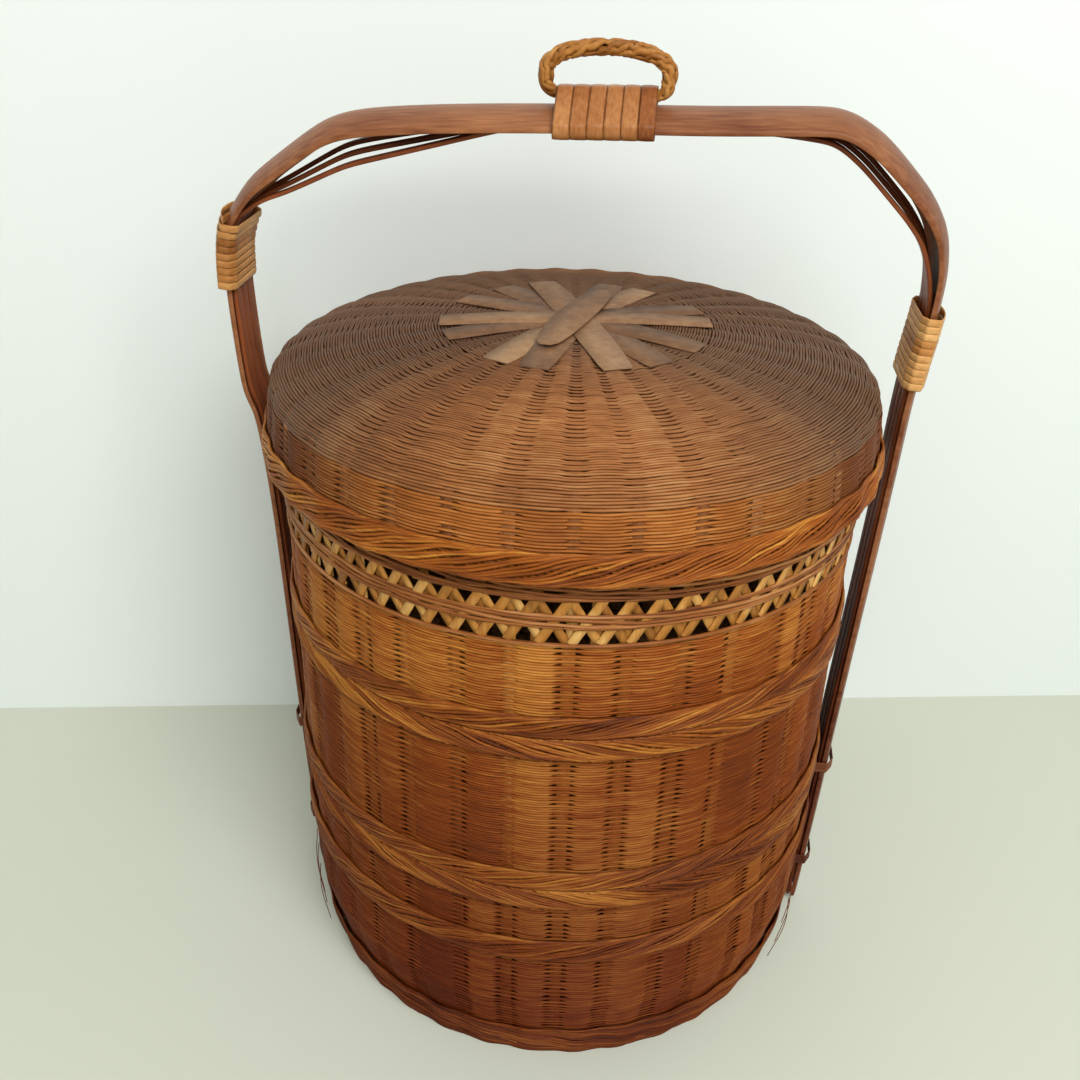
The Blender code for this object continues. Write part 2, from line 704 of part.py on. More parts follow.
def strap_half_width_at(level):
    """The strap is shaved narrower from the crossbar to the bindings, and from the lid's rim to its feet."""
    leg_share = min(max((level - LEG_BOTTOM) / (lid_bottom - LEG_BOTTOM), 0), 1)
    corner_share = min(max((level - strap_widens_from) / (strap_widens_to - strap_widens_from), 0), 1)
    widening = (1 - math.cos(math.pi * corner_share)) / 2
    leg_width = STRAP_FOOT_WIDTH + (STRAP_WIDTH - STRAP_FOOT_WIDTH) * leg_share
    return (leg_width + (CROSSBAR_WIDTH - STRAP_WIDTH) * widening) / 2


def arch_depth(across):
    """How far the strap's curved back falls away at a distance from its middle."""
    return STRAP_ARCH * (across / (STRAP_WIDTH / 2)) ** 2


def swept(stations, section):
    """Sweep a closed section, given as a function of the station, and cap both ends."""
    shape = bmesh.new()
    rings = []
    for station in stations:
        rings.append([shape.verts.new(station.place(*corner)) for corner in section(station)])
    for near, far in zip(rings, rings[1:]):
        bridge(shape, near, far)
    shape.faces.new(rings[0])
    shape.faces.new(list(reversed(rings[-1])))
    return shape


def bridge(shape, near, far):
    """Quads between two closed rings of vertices."""
    count = len(near)
    for index in range(count):
        following = (index + 1) % count
        shape.faces.new((near[index], near[following], far[following], far[index]))


def swept_sleeve(stations, outer, inner):
    """Sweep a sleeve with an outer and an inner section, open at both ends."""
    shape = bmesh.new()
    outer_rings = []
    inner_rings = []
    for station in stations:
        outer_rings.append([shape.verts.new(station.place(*corner)) for corner in outer(station)])
        inner_rings.append([shape.verts.new(station.place(*corner)) for corner in inner(station)])
    for rings in (outer_rings, inner_rings):
        for near, far in zip(rings, rings[1:]):
            bridge(shape, near, far)
    for end in (0, -1):
        bridge(shape, outer_rings[end], inner_rings[end])
    return shape


def strap_section(station):
    """Section of the strap: a curved back of even thickness."""
    half = strap_half_width_at(station.point.y)
    back = [(half * share, -arch_depth(half * share)) for share in STRAP_SECTION_SHARES]
    hollow = [(across, depth - STRAP_THICKNESS) for across, depth in reversed(back)]
    return back + hollow


def distance_where(stations, value_of, target):
    """Distance along a run of stations where a value passes a target."""
    for near, far in zip(stations, stations[1:]):
        low = value_of(near)
        high = value_of(far)
        if min(low, high) <= target < max(low, high):
            return near.distance + (far.distance - near.distance) * (target - low) / (high - low)
    return min(stations, key=lambda s: abs(value_of(s) - target)).distance


def distance_at_level(stations, level, right):
    """Distance along the path where one leg passes a level."""
    side = [s for s in stations if (s.point.x > 0) == right]
    return distance_where(side, lambda s: s.point.y, level)


def distance_at_crossbar(stations, x):
    """Distance along the path where the crossbar passes a place along X."""
    top = [s for s in stations if s.point.y > (lid_top + crossbar_level) / 2]
    return distance_where(top, lambda s: s.point.x, x)


def station_at(stations, distance):
    """The station at any distance along the path."""
    for near, far in zip(stations, stations[1:]):
        if near.distance <= distance <= far.distance:
            share = (distance - near.distance) / (far.distance - near.distance)
            tangent = near.tangent.lerp(far.tangent, share).normalized()
            return Station(near.point.lerp(far.point, share), tangent, distance)
    return stations[0] if distance < 0 else stations[-1]


def gap_spans(stations):
    """Where the splints leave the strap: from the left binding to the wrap, and on to the right one."""
    left_start = distance_at_level(stations, left_binding_level, False) + BINDING_LENGTH / 2
    wrap = distance_at_crossbar(stations, WRAP_CENTRE)
    right_end = distance_at_level(stations, right_binding_level, True) - BINDING_LENGTH / 2
    return (
        (left_start, wrap - WRAP_LENGTH / 2, LEFT_CORNER_GAP, LEFT_GAP_SKEW, LEFT_GAP_SHARPNESS),
        (wrap + WRAP_LENGTH / 2, right_end, RIGHT_CORNER_GAP, RIGHT_GAP_SKEW, RIGHT_GAP_SHARPNESS),
    )


def splint_depth_at(distance, spans, share):
    """Depth of a splint's centre below the strap's back, at a distance along the handle."""
    depth = stack_depth - SPLINT_THICKNESS / 2
    for start, end, gap, skew, sharpness in spans:
        if start < distance < end:
            way = ((distance - start) / (end - start)) ** skew
            depth += gap * share * math.sin(math.pi * way) ** sharpness
    return depth


def make_strap(kept, body, material):
    """The wide outer strap of the handle."""
    finish_piece("handle_strap", swept(kept, strap_section), body, material)


def frame_stations(stations, spans):
    """The stations that the strap and the splints share."""
    ends = []
    for start, end, *_ in spans:
        ends += [start - SPLINT_THICKNESS, start, end, end + SPLINT_THICKNESS]
    return thin_out(stations, ends)


def make_splints(kept, spans, body, material):
    """The three narrow splints under the strap."""
    for index, (name, share) in enumerate(SPLINT_GAP_SHARES.items()):
        centre = (index - 1) * SPLINT_SPACING

        def section(station, centre=centre, share=share):
            depth = splint_depth_at(station.distance, spans, share)
            low = centre - SPLINT_WIDTH / 2
            high = centre + SPLINT_WIDTH / 2
            near = SPLINT_THICKNESS / 2 - depth
            far = -SPLINT_THICKNESS / 2 - depth
            return [(low, near), (high, near), (high, far), (low, far)]

        finish_piece("handle_splint_" + name, swept(kept, section), body, material)


def stack_outline(station, grow):
    """Outline round the strap and the splints, grown by an even margin."""
    half = strap_half_width_at(station.point.y)
    side = half + grow
    outline = []
    for step in range(OUTLINE_STEPS + 1):
        share = 2 * step / OUTLINE_STEPS - 1
        outline.append((side * share, grow - arch_depth(half * share)))
    edge_depth = arch_depth(half) + STRAP_THICKNESS
    depth = max(stack_depth, edge_depth)
    inner_half = half
    if edge_depth < stack_depth:
        inner_half = max(splint_reach, half * OUTLINE_INNER_SHARE) + grow
    outline.append((side, -depth))
    outline.append((inner_half, -depth - grow))
    outline.append((-inner_half, -depth - grow))
    outline.append((-side, -depth))
    return outline


def sleeve_stations(stations, centre, length):
    """Stations of a short sleeve, evenly spaced about a distance along the path."""
    places = range(SLEEVE_STATIONS)
    shares = [place / (SLEEVE_STATIONS - 1) - 1 / 2 for place in places]
    return [station_at(stations, centre + length * share) for share in shares]


def make_bindings(stations, body, material):
    """Cane bindings where the splints leave the strap, one on each leg."""
    for name, level, right in (("left", left_binding_level, False), ("right", right_binding_level, True)):
        centre = distance_at_level(stations, level, right)
        shape = swept_sleeve(
            sleeve_stations(stations, centre, BINDING_LENGTH),
            lambda station: stack_outline(station, BINDING_CLEARANCE + BINDING_THICKNESS),
            lambda station: stack_outline(station, BINDING_CLEARANCE),
        )
        finish_piece(name + "_leg_binding", shape, body, material)


def chord_rise():
    """Height of the ring's chord above the strap's back, which is also the hinge."""
    return BINDING_CLEARANCE + RING_CHORD_THICKNESS / 2


def wrap_outline(station, grow):
    """Outline of the centre wrap: the stack with a hump over the ring's chord."""
    hump_half = WRAP_HUMP_SPREAD * (RING_CHORD_THICKNESS / 2 + RING_CLEARANCE + grow)
    hump_top = 2 * chord_rise() + RING_CLEARANCE + grow
    outline = []
    for across, outwards in stack_outline(station, grow + BINDING_CLEARANCE):
        if outwards > -stack_depth / 2 and abs(across) < hump_half:
            lean = 1 - (across / hump_half) ** 2
            outwards = max(outwards, hump_top * min(lean * WRAP_HUMP_FULLNESS, 1))
        outline.append((across, outwards))
    return outline


def make_centre_wrap(stations, body, material):
    """Flat cane strips wrapped round the crossbar and over the ring's chord."""
    shape = swept_sleeve(
        sleeve_stations(stations, distance_at_crossbar(stations, WRAP_CENTRE), WRAP_LENGTH),
        lambda station: wrap_outline(station, WRAP_THICKNESS),
        lambda station: wrap_outline(station, 0),
    )
    finish_piece("centre_wrap", shape, body, material)


def lashing_half_width(level):
    """Half width of a lashing's outside, across the strap."""
    return strap_half_width_at(level) + LASHING_CLEARANCE + LASHING_THICKNESS


def make_lashings(stations, body, material):
    """Cane loops that pass round each leg and through the slots in the base wall."""
    for name, side in (("left", -1), ("right", 1)):
        for place, level in (("lower", LOWER_LASHING_LEVEL), ("upper", upper_lashing_level)):
            leg_x = abs(station_at(stations, distance_at_level(stations, level, side > 0)).point.x)
            half = lashing_half_width(level)
            facet = math.cos(math.pi / ROUND_SEGMENTS)
            wall_face = math.sqrt(((base_radius_at(level) - WALL_THICKNESS) * facet) ** 2 - half ** 2)
            lean = LASHING_HEIGHT * LEG_SPLAY / (BASE_HEIGHT - waist_braid_bottom)
            taper = LASHING_HEIGHT * BASE_FOOT_TAPER / BASE_TAPER_HEIGHT
            outer = plan_loop(
                wall_face - taper - LASHING_CLEARANCE - LASHING_THICKNESS,
                leg_x + lean + LASHING_CLEARANCE + LASHING_THICKNESS, half, side,
            )
            inner = plan_loop(
                wall_face - taper - LASHING_CLEARANCE, leg_x + lean + LASHING_CLEARANCE,
                half - LASHING_THICKNESS, side,
            )
            shape = upright_sleeve(outer, inner, level - LASHING_HEIGHT / 2, level + LASHING_HEIGHT / 2)
            finish_piece("_".join((name, place, "lashing")), shape, body, material)


def plan_loop(low_x, high_x, half, side):
    """A loop seen from above, square at the wall and rounded over the strap's back."""
    points = [(low_x, -half), (low_x, half)]
    for share in reversed(STRAP_SECTION_SHARES):
        depth = arch_depth(half) * share ** LASHING_ROUNDING_POWER
        points.append((high_x - depth, half * share))
    return [(side * x, y) for x, y in points]


def upright_sleeve(outer, inner, bottom, top):
    """A sleeve with upright walls between two plan outlines."""
    shape = bmesh.new()
    rings = {}
    for level in (bottom, top):
        for key, outline in (("outer", outer), ("inner", inner)):
            rings[key, level] = [shape.verts.new((x, y, level)) for x, y in outline]
    bridge(shape, rings["outer", bottom], rings["outer", top])
    bridge(shape, rings["inner", bottom], rings["inner", top])
    for level in (bottom, top):
        bridge(shape, rings["outer", level], rings["inner", level])
    return shape


def ring_station(stations):
    """The place on the crossbar where the ring's hinge lies."""
    return station_at(stations, distance_at_crossbar(stations, WRAP_CENTRE))


def make_ring(station, body, material):
    """The cane ring: a flattened loop that is thinner where the wrap holds it."""
    half_width = (RING_WIDTH - RING_THICKNESS) / 2
    half_height = (RING_RISE - RING_THICKNESS / 2 - chord_rise()) / 2
    shape = bmesh.new()
    rings = []
    for index in range(RING_STATIONS):
        turn = math.tau * index / RING_STATIONS
        power = RING_TOP_POWER if math.sin(turn) >= 0 else RING_CHORD_POWER
        along = half_width * signed_power(math.cos(turn), 2 / power)
        up = half_height * signed_power(math.sin(turn), 2 / power)
        next_turn = turn + RING_AHEAD_TURN
        ahead = Vector((
            half_width * signed_power(math.cos(next_turn), 2 / power) - along,
            half_height * signed_power(math.sin(next_turn), 2 / power) - up,
        )).normalized()
        sideways = Vector((ahead.y, -ahead.x))
        fullness = (up / half_height + 1) / 2
        radius = (RING_CHORD_THICKNESS + (RING_THICKNESS - RING_CHORD_THICKNESS) * fullness) / 2
        ring = []
        for side in range(RING_SIDES):
            around = math.tau * side / RING_SIDES
            offset = sideways * radius * math.cos(around)
            outwards = chord_rise() + half_height + up + offset.y
            ring.append(shape.verts.new(station.place(radius * math.sin(around), outwards, along + offset.x)))
        rings.append(ring)
    for index, ring in enumerate(rings):
        bridge(shape, ring, rings[(index + 1) % RING_STATIONS])
    finish_piece("carrying_ring", shape, body, material)


def signed_power(value, power):
    """A power that keeps the sign of its value."""
    return math.copysign(abs(value) ** power, value)


def build():
    """Model the whole basket."""
    clear_scene()
    materials = {
        "weave": make_material("red brown woven bamboo", (0.36, 0.15, 0.06), 0.6),
        "braid": make_material("brown bamboo braid", (0.42, 0.19, 0.08), 0.55),
        "splint": make_material("brown bamboo splint", (0.30, 0.13, 0.06), 0.5),
        "lattice": make_material("straw bamboo splint", (0.55, 0.33, 0.14), 0.55),
        "star": make_material("grey brown bamboo splint", (0.38, 0.22, 0.12), 0.6),
        "strap": make_material("smoked bamboo strap", (0.29, 0.12, 0.06), 0.4),
        "binding": make_material("tan cane", (0.50, 0.28, 0.12), 0.5),
        "ring": make_material("golden cane", (0.52, 0.27, 0.08), 0.45),
    }
    stations = handle_stations()
    hinge = ring_station(stations)
    base = make_body("base", (0, 0, 0))
    middle_tray = make_body("middle_tray", (0, 0, middle_bottom))
    upper_tray = make_body("upper_tray", (0, 0, upper_bottom))
    lid = make_body("lid", (0, 0, lid_bottom))
    ring = make_body("ring", hinge.place(0, chord_rise()))

    make_base_wall(base, materials["weave"])
    make_foot_border(base, materials["braid"])
    floor_radius = base_radius_at(BASE_FLOOR_LIFT) - WALL_THICKNESS - TOUCH_GAP
    make_floor("base_floor", floor_radius, BASE_FLOOR_LIFT, base, materials["weave"])
    make_battens(base, materials["splint"])
    make_braid("base_waist_braid", waist_braid_bottom, WAIST_BRAID_HEIGHT, base, materials["braid"])
    make_braid("base_rim_braid", BASE_HEIGHT - RIM_BRAID_HEIGHT, RIM_BRAID_HEIGHT, base, materials["braid"])
    spans = gap_spans(stations)
    kept = frame_stations(stations, spans)
    make_strap(kept, base, materials["strap"])
    make_splints(kept, spans, base, materials["splint"])
    make_bindings(stations, base, materials["binding"])
    make_centre_wrap(stations, base, materials["binding"])
    make_lashings(stations, base, materials["binding"])

    make_tray("middle_tray", middle_bottom, MIDDLE_TRAY_HEIGHT, middle_tray, materials)
    rim_level = middle_top - RIM_BRAID_HEIGHT
    make_braid("middle_tray_rim_braid", rim_level, RIM_BRAID_HEIGHT, middle_tray, materials["braid"])

    make_tray("upper_tray", upper_bottom, UPPER_WALL_HEIGHT, upper_tray, materials)
    make_lattice(upper_tray, materials["lattice"])
    make_mouth_hoop(upper_tray, materials["splint"])

    make_lid_shell(lid, materials["weave"])
    make_lid_rim(lid, materials)
    make_lid_star(lid, materials["star"])
    make_tie_splint(lid, materials["star"])

    make_ring(hinge, ring, materials["ring"])


build()
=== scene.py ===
"""Tiered bamboo food basket: its woven walls, wound bands, handle and ring, built on the CAD frame."""

import math

import bmesh
import bpy
from bpy.props import FloatProperty, FloatVectorProperty, IntProperty, PointerProperty
from mathutils import Matrix, Vector, kdtree


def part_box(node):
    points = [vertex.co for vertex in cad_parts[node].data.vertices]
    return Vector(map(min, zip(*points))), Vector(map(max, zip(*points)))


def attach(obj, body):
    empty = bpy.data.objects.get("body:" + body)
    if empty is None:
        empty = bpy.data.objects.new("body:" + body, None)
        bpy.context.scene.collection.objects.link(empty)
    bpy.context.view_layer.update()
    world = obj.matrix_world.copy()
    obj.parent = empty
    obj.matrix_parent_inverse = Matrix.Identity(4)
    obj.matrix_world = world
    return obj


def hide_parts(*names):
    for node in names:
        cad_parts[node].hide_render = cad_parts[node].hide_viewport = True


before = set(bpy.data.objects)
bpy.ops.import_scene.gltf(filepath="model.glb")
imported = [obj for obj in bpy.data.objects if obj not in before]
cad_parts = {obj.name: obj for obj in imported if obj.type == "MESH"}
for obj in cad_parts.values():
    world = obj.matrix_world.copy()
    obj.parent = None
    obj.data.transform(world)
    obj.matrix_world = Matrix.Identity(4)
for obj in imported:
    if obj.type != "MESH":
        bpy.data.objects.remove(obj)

bl_info = {
    "name": "Tiered bamboo food basket",
    "version": (1, 0, 0),
    "blender": (4, 5, 0),
    "location": "3D View > Sidebar > Basket",
    "description": "Weaves, winds and lashes the pieces of a stacked bamboo food basket",
    "category": "Object",
}

MM = 0.001
UP = Vector((0, 0, 1))
# Painted shade: the woven colours grow darker and redder towards the bottom, fully from 50 mm down, fading out by 245
# mm.
SHADE_FROM = 50.0 * MM
SHADE_UP_TO = 245.0 * MM
# Middle of the painted pool of light at the lid's front: painted shade and a painted sheen grow away from it.
LIT_SPOT = (0.012, -0.135, 0.0)
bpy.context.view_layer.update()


# Helpers for nodes and meshes


def linear(code):
    """Linear colour from an sRGB hex code."""
    shares = [int(code[place:place + 2], 16) / 255 for place in (1, 3, 5)]
    return tuple(s / 12.92 if s <= 0.04045 else ((s + 0.055) / 1.055) ** 2.4 for s in shares) + (1.0,)


def add(tree, kind, links=None, **settings):
    """Add a node with its settings, link or set its inputs, and return its first live output."""
    node = tree.nodes.new(kind)
    for name, value in settings.items():
        setattr(node, name, value)
    for key, value in (links or {}).items():
        if isinstance(value, bpy.types.NodeSocket):
            tree.links.new(value, node.inputs[key])
        else:
            node.inputs[key].default_value = value
    return next(output for output in node.outputs if output.enabled)


def new_tree(name, inputs):
    """A geometry tree with its geometry sockets and one named input for each size."""
    tree = bpy.data.node_groups.new(name, "GeometryNodeTree")
    tree.interface.new_socket("Geometry", in_out="INPUT", socket_type="NodeSocketGeometry")
    tree.interface.new_socket("Geometry", in_out="OUTPUT", socket_type="NodeSocketGeometry")
    for title, kind in inputs:
        tree.interface.new_socket(title, in_out="INPUT", socket_type="NodeSocket" + kind)
    return tree, tree.nodes.new("NodeGroupInput").outputs


def oval_section(tree, width, thickness, sides):
    """A strip's cross-section: its thickness lies along the path's normal."""
    section = add(tree, "GeometryNodeCurvePrimitiveCircle", {"Resolution": sides, "Radius": 0.5}, mode="RADIUS")
    size = add(tree, "ShaderNodeCombineXYZ", {0: thickness, 1: width, 2: 1.0})
    return add(tree, "GeometryNodeTransform", {0: section, "Scale": size})


def end_tree(tree, geometry, material):
    """Close a tree: smooth shading, real geometry and its material."""
    smooth = add(tree, "GeometryNodeSetShadeSmooth", {0: geometry})
    real = add(tree, "GeometryNodeRealizeInstances", {0: smooth})
    painted = add(tree, "GeometryNodeSetMaterial", {0: real, "Material": material})
    output = tree.nodes.new("NodeGroupOutput")
    tree.links.new(painted, output.inputs[0])


def seat(piece, body, nodes=()):
    """Let a finished piece ride on its body, in the place of its CAD nodes."""
    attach(piece, body)
    if nodes:
        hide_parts(*nodes)
    return piece


def grow(name, carrier, tree, values, body, nodes=()):
    """Run a tree on a carrier mesh and keep the result as one plain mesh on its body."""
    source = bpy.data.objects.new(name + "_carrier", carrier)
    modifier = source.modifiers.new(tree.name, "NODES")
    modifier.node_group = tree
    for item in tree.interface.items_tree:
        if item.in_out == "INPUT" and item.name in values:
            modifier[item.identifier] = values[item.name]
    bpy.context.collection.objects.link(source)
    shown = source.evaluated_get(bpy.context.evaluated_depsgraph_get())
    mesh = bpy.data.meshes.new_from_object(shown)
    bpy.data.objects.remove(source, do_unlink=True)
    if not mesh.polygons:
        raise RuntimeError(name + " came out empty")
    shape = bmesh.new()
    shape.from_mesh(mesh)
    bmesh.ops.recalc_face_normals(shape, faces=shape.faces)
    shape.to_mesh(mesh)
    shape.free()
    mesh.name = name
    piece = bpy.data.objects.new(name, mesh)
    bpy.context.collection.objects.link(piece)
    return seat(piece, body, nodes)


def path_mesh(name, loops, closed, outwards=None):
    """Edges along one or more paths, with the outward direction at each point."""
    points = [point for loop in loops for point in loop]
    edges = []
    start = 0
    for loop in loops:
        count = len(loop)
        spans = count if closed else count - 1
        edges += [(start + index, start + (index + 1) % count) for index in range(spans)]
        start += count
    mesh = bpy.data.meshes.new(name)
    mesh.from_pydata(points, edges, [])
    if outwards is not None:
        layer = mesh.attributes.new("outward", "FLOAT_VECTOR", "POINT")
        for index, direction in enumerate(direction for loop in outwards for direction in loop):
            layer.data[index].vector = direction
    return mesh


def ring_path(name, radius, level, count, waves=0, swell=0.0, lift=0.0):
    """A ring of points about the basket's axis, which may swell and lift in even waves."""
    turns = [math.tau * index / count for index in range(count)]
    directions = [Vector((math.cos(turn), math.sin(turn), 0)) for turn in turns]
    points = []
    for turn, direction in zip(turns, directions):
        wave = math.cos(waves * turn)
        points.append(direction * (radius + swell * wave) + UP * (level + lift * wave))
    return path_mesh(name, [points], True, [directions])


def corners(node):
    """Lowest and highest corner of a CAD node."""
    low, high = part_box(node)
    return Vector(low), Vector(high)


def merged_copy(name, node):
    """A copy of a CAD node's mesh with its loose triangles joined."""
    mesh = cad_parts[node].data.copy()
    mesh.name = name
    mesh.materials.clear()
    shape = bmesh.new()
    shape.from_mesh(mesh)
    bmesh.ops.remove_doubles(shape, verts=shape.verts, dist=0.01 * MM)
    bmesh.ops.join_triangles(
        shape, faces=shape.faces[:], angle_face_threshold=math.radians(20), angle_shape_threshold=math.radians(80))
    shape.to_mesh(mesh)
    shape.free()
    return mesh


# Geometry trees


def weaver_tree():
    """Rows of thin weavers that follow a turned outline and go over and under the stakes."""
    tree, given = new_tree("woven rows", (
        ("Row pitch", "Float"), ("Column pairs", "Int"), ("Steps", "Int"), ("Width", "Float"),
        ("Thickness", "Float"), ("Dive", "Float"), ("Swell", "Float"), ("Open share", "Float"),
        ("Wander", "Float"), ("Seed", "Int"), ("Material", "Material"),
    ))
    outline = add(tree, "GeometryNodeMeshToCurve", {0: given["Geometry"]})
    rows = add(tree, "GeometryNodeResampleCurve", {0: outline, "Length": given["Row pitch"]}, mode="LENGTH")
    index = add(tree, "GeometryNodeInputIndex")
    tangent = add(tree, "GeometryNodeInputTangent")
    facing = add(tree, "ShaderNodeVectorMath", {0: (0, 1, 0), 1: tangent}, operation="CROSS_PRODUCT")
    position = add(tree, "GeometryNodeInputPosition")
    for name, kind, value in (("place", "FLOAT_VECTOR", position), ("facing", "FLOAT_VECTOR", facing), ("row", "FLOAT", index)):
        rows = add(tree, "GeometryNodeStoreNamedAttribute", {0: rows, "Name": name, "Value": value}, data_type=kind)
    points = add(tree, "ShaderNodeMath", {0: given["Column pairs"], 1: given["Steps"]}, operation="MULTIPLY")
    ring = add(tree, "GeometryNodeCurvePrimitiveCircle", {"Resolution": points, "Radius": 1.0}, mode="RADIUS")
    turn = add(tree, "ShaderNodeMath", {0: index, 1: points}, operation="DIVIDE")
    ring = add(tree, "GeometryNodeStoreNamedAttribute", {0: ring, "Name": "turn", "Value": turn}, data_type="FLOAT")
    woven = add(tree, "GeometryNodeInstanceOnPoints", {"Points": rows, "Instance": ring})
    woven = add(tree, "GeometryNodeRealizeInstances", {0: woven})

    turn = add(tree, "GeometryNodeInputNamedAttribute", {"Name": "turn"}, data_type="FLOAT")
    row = add(tree, "GeometryNodeInputNamedAttribute", {"Name": "row"}, data_type="FLOAT")
    place = add(tree, "GeometryNodeInputNamedAttribute", {"Name": "place"}, data_type="FLOAT_VECTOR")
    facing = add(tree, "GeometryNodeInputNamedAttribute", {"Name": "facing"}, data_type="FLOAT_VECTOR")
    angle = add(tree, "ShaderNodeMath", {0: turn, 1: math.tau}, operation="MULTIPLY")
    column = add(tree, "ShaderNodeMath", {0: turn, 1: given["Column pairs"]}, operation="MULTIPLY")
    phase = add(tree, "ShaderNodeMath", {0: column}, operation="FRACT")
    pair = add(tree, "ShaderNodeMath", {0: column}, operation="FLOOR")
    swap = add(tree, "ShaderNodeMath", {0: row, 1: pair}, operation="ADD")
    odd = add(tree, "ShaderNodeMath", {0: swap, 1: 2.0}, operation="FLOORED_MODULO")
    uneven = add(tree, "FunctionNodeRandomValue", {"Min": 0.33, "Max": 0.62, "ID": pair, "Seed": given["Seed"]},
                 data_type="FLOAT")
    half_open = add(tree, "ShaderNodeMath", {0: given["Open share"], 1: uneven}, operation="MULTIPLY")
    aside = add(tree, "FunctionNodeRandomValue", {"Min": 0.43, "Max": 0.57, "ID": pair, "Seed": 5}, data_type="FLOAT")
    behind = add(tree, "ShaderNodeMath", {0: phase, 1: aside, 2: half_open}, operation="COMPARE")
    under = add(tree, "ShaderNodeMath", {0: behind, 1: odd}, operation="MULTIPLY")
    crossing = add(tree, "ShaderNodeMath", {0: row, 1: 97.0, 2: pair}, operation="MULTIPLY_ADD")
    deep = add(tree, "FunctionNodeRandomValue", {"Min": 0.35, "Max": 1.0, "ID": crossing}, data_type="FLOAT")
    under = add(tree, "ShaderNodeMath", {0: under, 1: deep}, operation="MULTIPLY")
    hollow = add(tree, "ShaderNodeMath", {0: column, 1: math.pi}, operation="MULTIPLY")
    hollow = add(tree, "ShaderNodeMath", {0: hollow}, operation="SINE")
    hollow = add(tree, "ShaderNodeMath", {0: hollow, 1: 2.0}, operation="POWER")
    hollow = add(tree, "ShaderNodeMath", {0: hollow, 1: given["Swell"]}, operation="MULTIPLY")
    depth = add(tree, "ShaderNodeMath", {0: under, 1: given["Dive"], 2: hollow}, operation="MULTIPLY_ADD")
    depth = add(tree, "ShaderNodeMath", {0: depth, 1: -1.0}, operation="MULTIPLY")
    dived = add(tree, "ShaderNodeVectorMath", {0: facing, "Scale": depth}, operation="SCALE")
    moved = add(tree, "ShaderNodeVectorMath", {0: place, 1: dived}, operation="ADD")
    turned = add(tree, "ShaderNodeVectorRotate", {"Vector": moved, "Angle": angle}, rotation_type="Z_AXIS")
    outward = add(tree, "ShaderNodeVectorRotate", {"Vector": facing, "Angle": angle}, rotation_type="Z_AXIS")

    shift = add(tree, "ShaderNodeMath", {0: row, 1: given["Seed"]}, operation="ADD")
    shift = add(tree, "ShaderNodeMath", {0: shift, 1: 3.7}, operation="MULTIPLY")
    across = add(tree, "ShaderNodeMath", {0: angle}, operation="COSINE")
    away = add(tree, "ShaderNodeMath", {0: angle}, operation="SINE")
    where = add(tree, "ShaderNodeCombineXYZ", {0: across, 1: away, 2: shift})
    noise = add(tree, "ShaderNodeTexNoise", {"Vector": where, "Scale": 6.0, "Detail": 1.0}).node.outputs["Color"]
    drift = add(tree, "ShaderNodeVectorMath", {0: noise, 1: (0.5, 0.5, 0.5)}, operation="SUBTRACT")
    drift = add(tree, "ShaderNodeVectorMath", {0: drift, "Scale": given["Wander"]}, operation="SCALE")
    final = add(tree, "ShaderNodeVectorMath", {0: turned, 1: drift}, operation="ADD")
    woven = add(tree, "GeometryNodeSetPosition", {0: woven, "Position": final})
    # Tint: a random tone for each raised column, while the sunken stretches keep one value a little below the average,
    # a faint painted shade in the hollows.
    nearest = add(tree, "ShaderNodeMath", {0: column}, operation="ROUND")
    nearest = add(tree, "ShaderNodeMath", {0: nearest, 1: given["Column pairs"]}, operation="FLOORED_MODULO")
    raised = add(tree, "FunctionNodeRandomValue", {"ID": nearest, "Seed": given["Seed"]}, data_type="FLOAT")
    tint = add(tree, "ShaderNodeMix", {"Factor": behind, "A": raised, "B": 0.42}, data_type="FLOAT")
    tone = add(tree, "FunctionNodeRandomValue", {"ID": row, "Seed": given["Seed"]}, data_type="FLOAT")
    streak = add(tree, "ShaderNodeTexNoise", {"Vector": where, "Scale": 4.0, "Detail": 2.0})
    tone = add(tree, "ShaderNodeMath", {0: tone, 1: 0.6, 2: streak}, operation="MULTIPLY_ADD")
    for name, value in (("tone", tone), ("tint", tint)):
        woven = add(tree, "GeometryNodeStoreNamedAttribute", {0: woven, "Name": name, "Value": value}, data_type="FLOAT")
    woven = add(tree, "GeometryNodeSetCurveNormal", {0: woven, "Normal": outward}, mode="FREE")
    section = oval_section(tree, given["Width"], given["Thickness"], 3)
    strips = add(tree, "GeometryNodeCurveToMesh", {0: woven, 1: section})
    end_tree(tree, strips, given["Material"])
    return tree


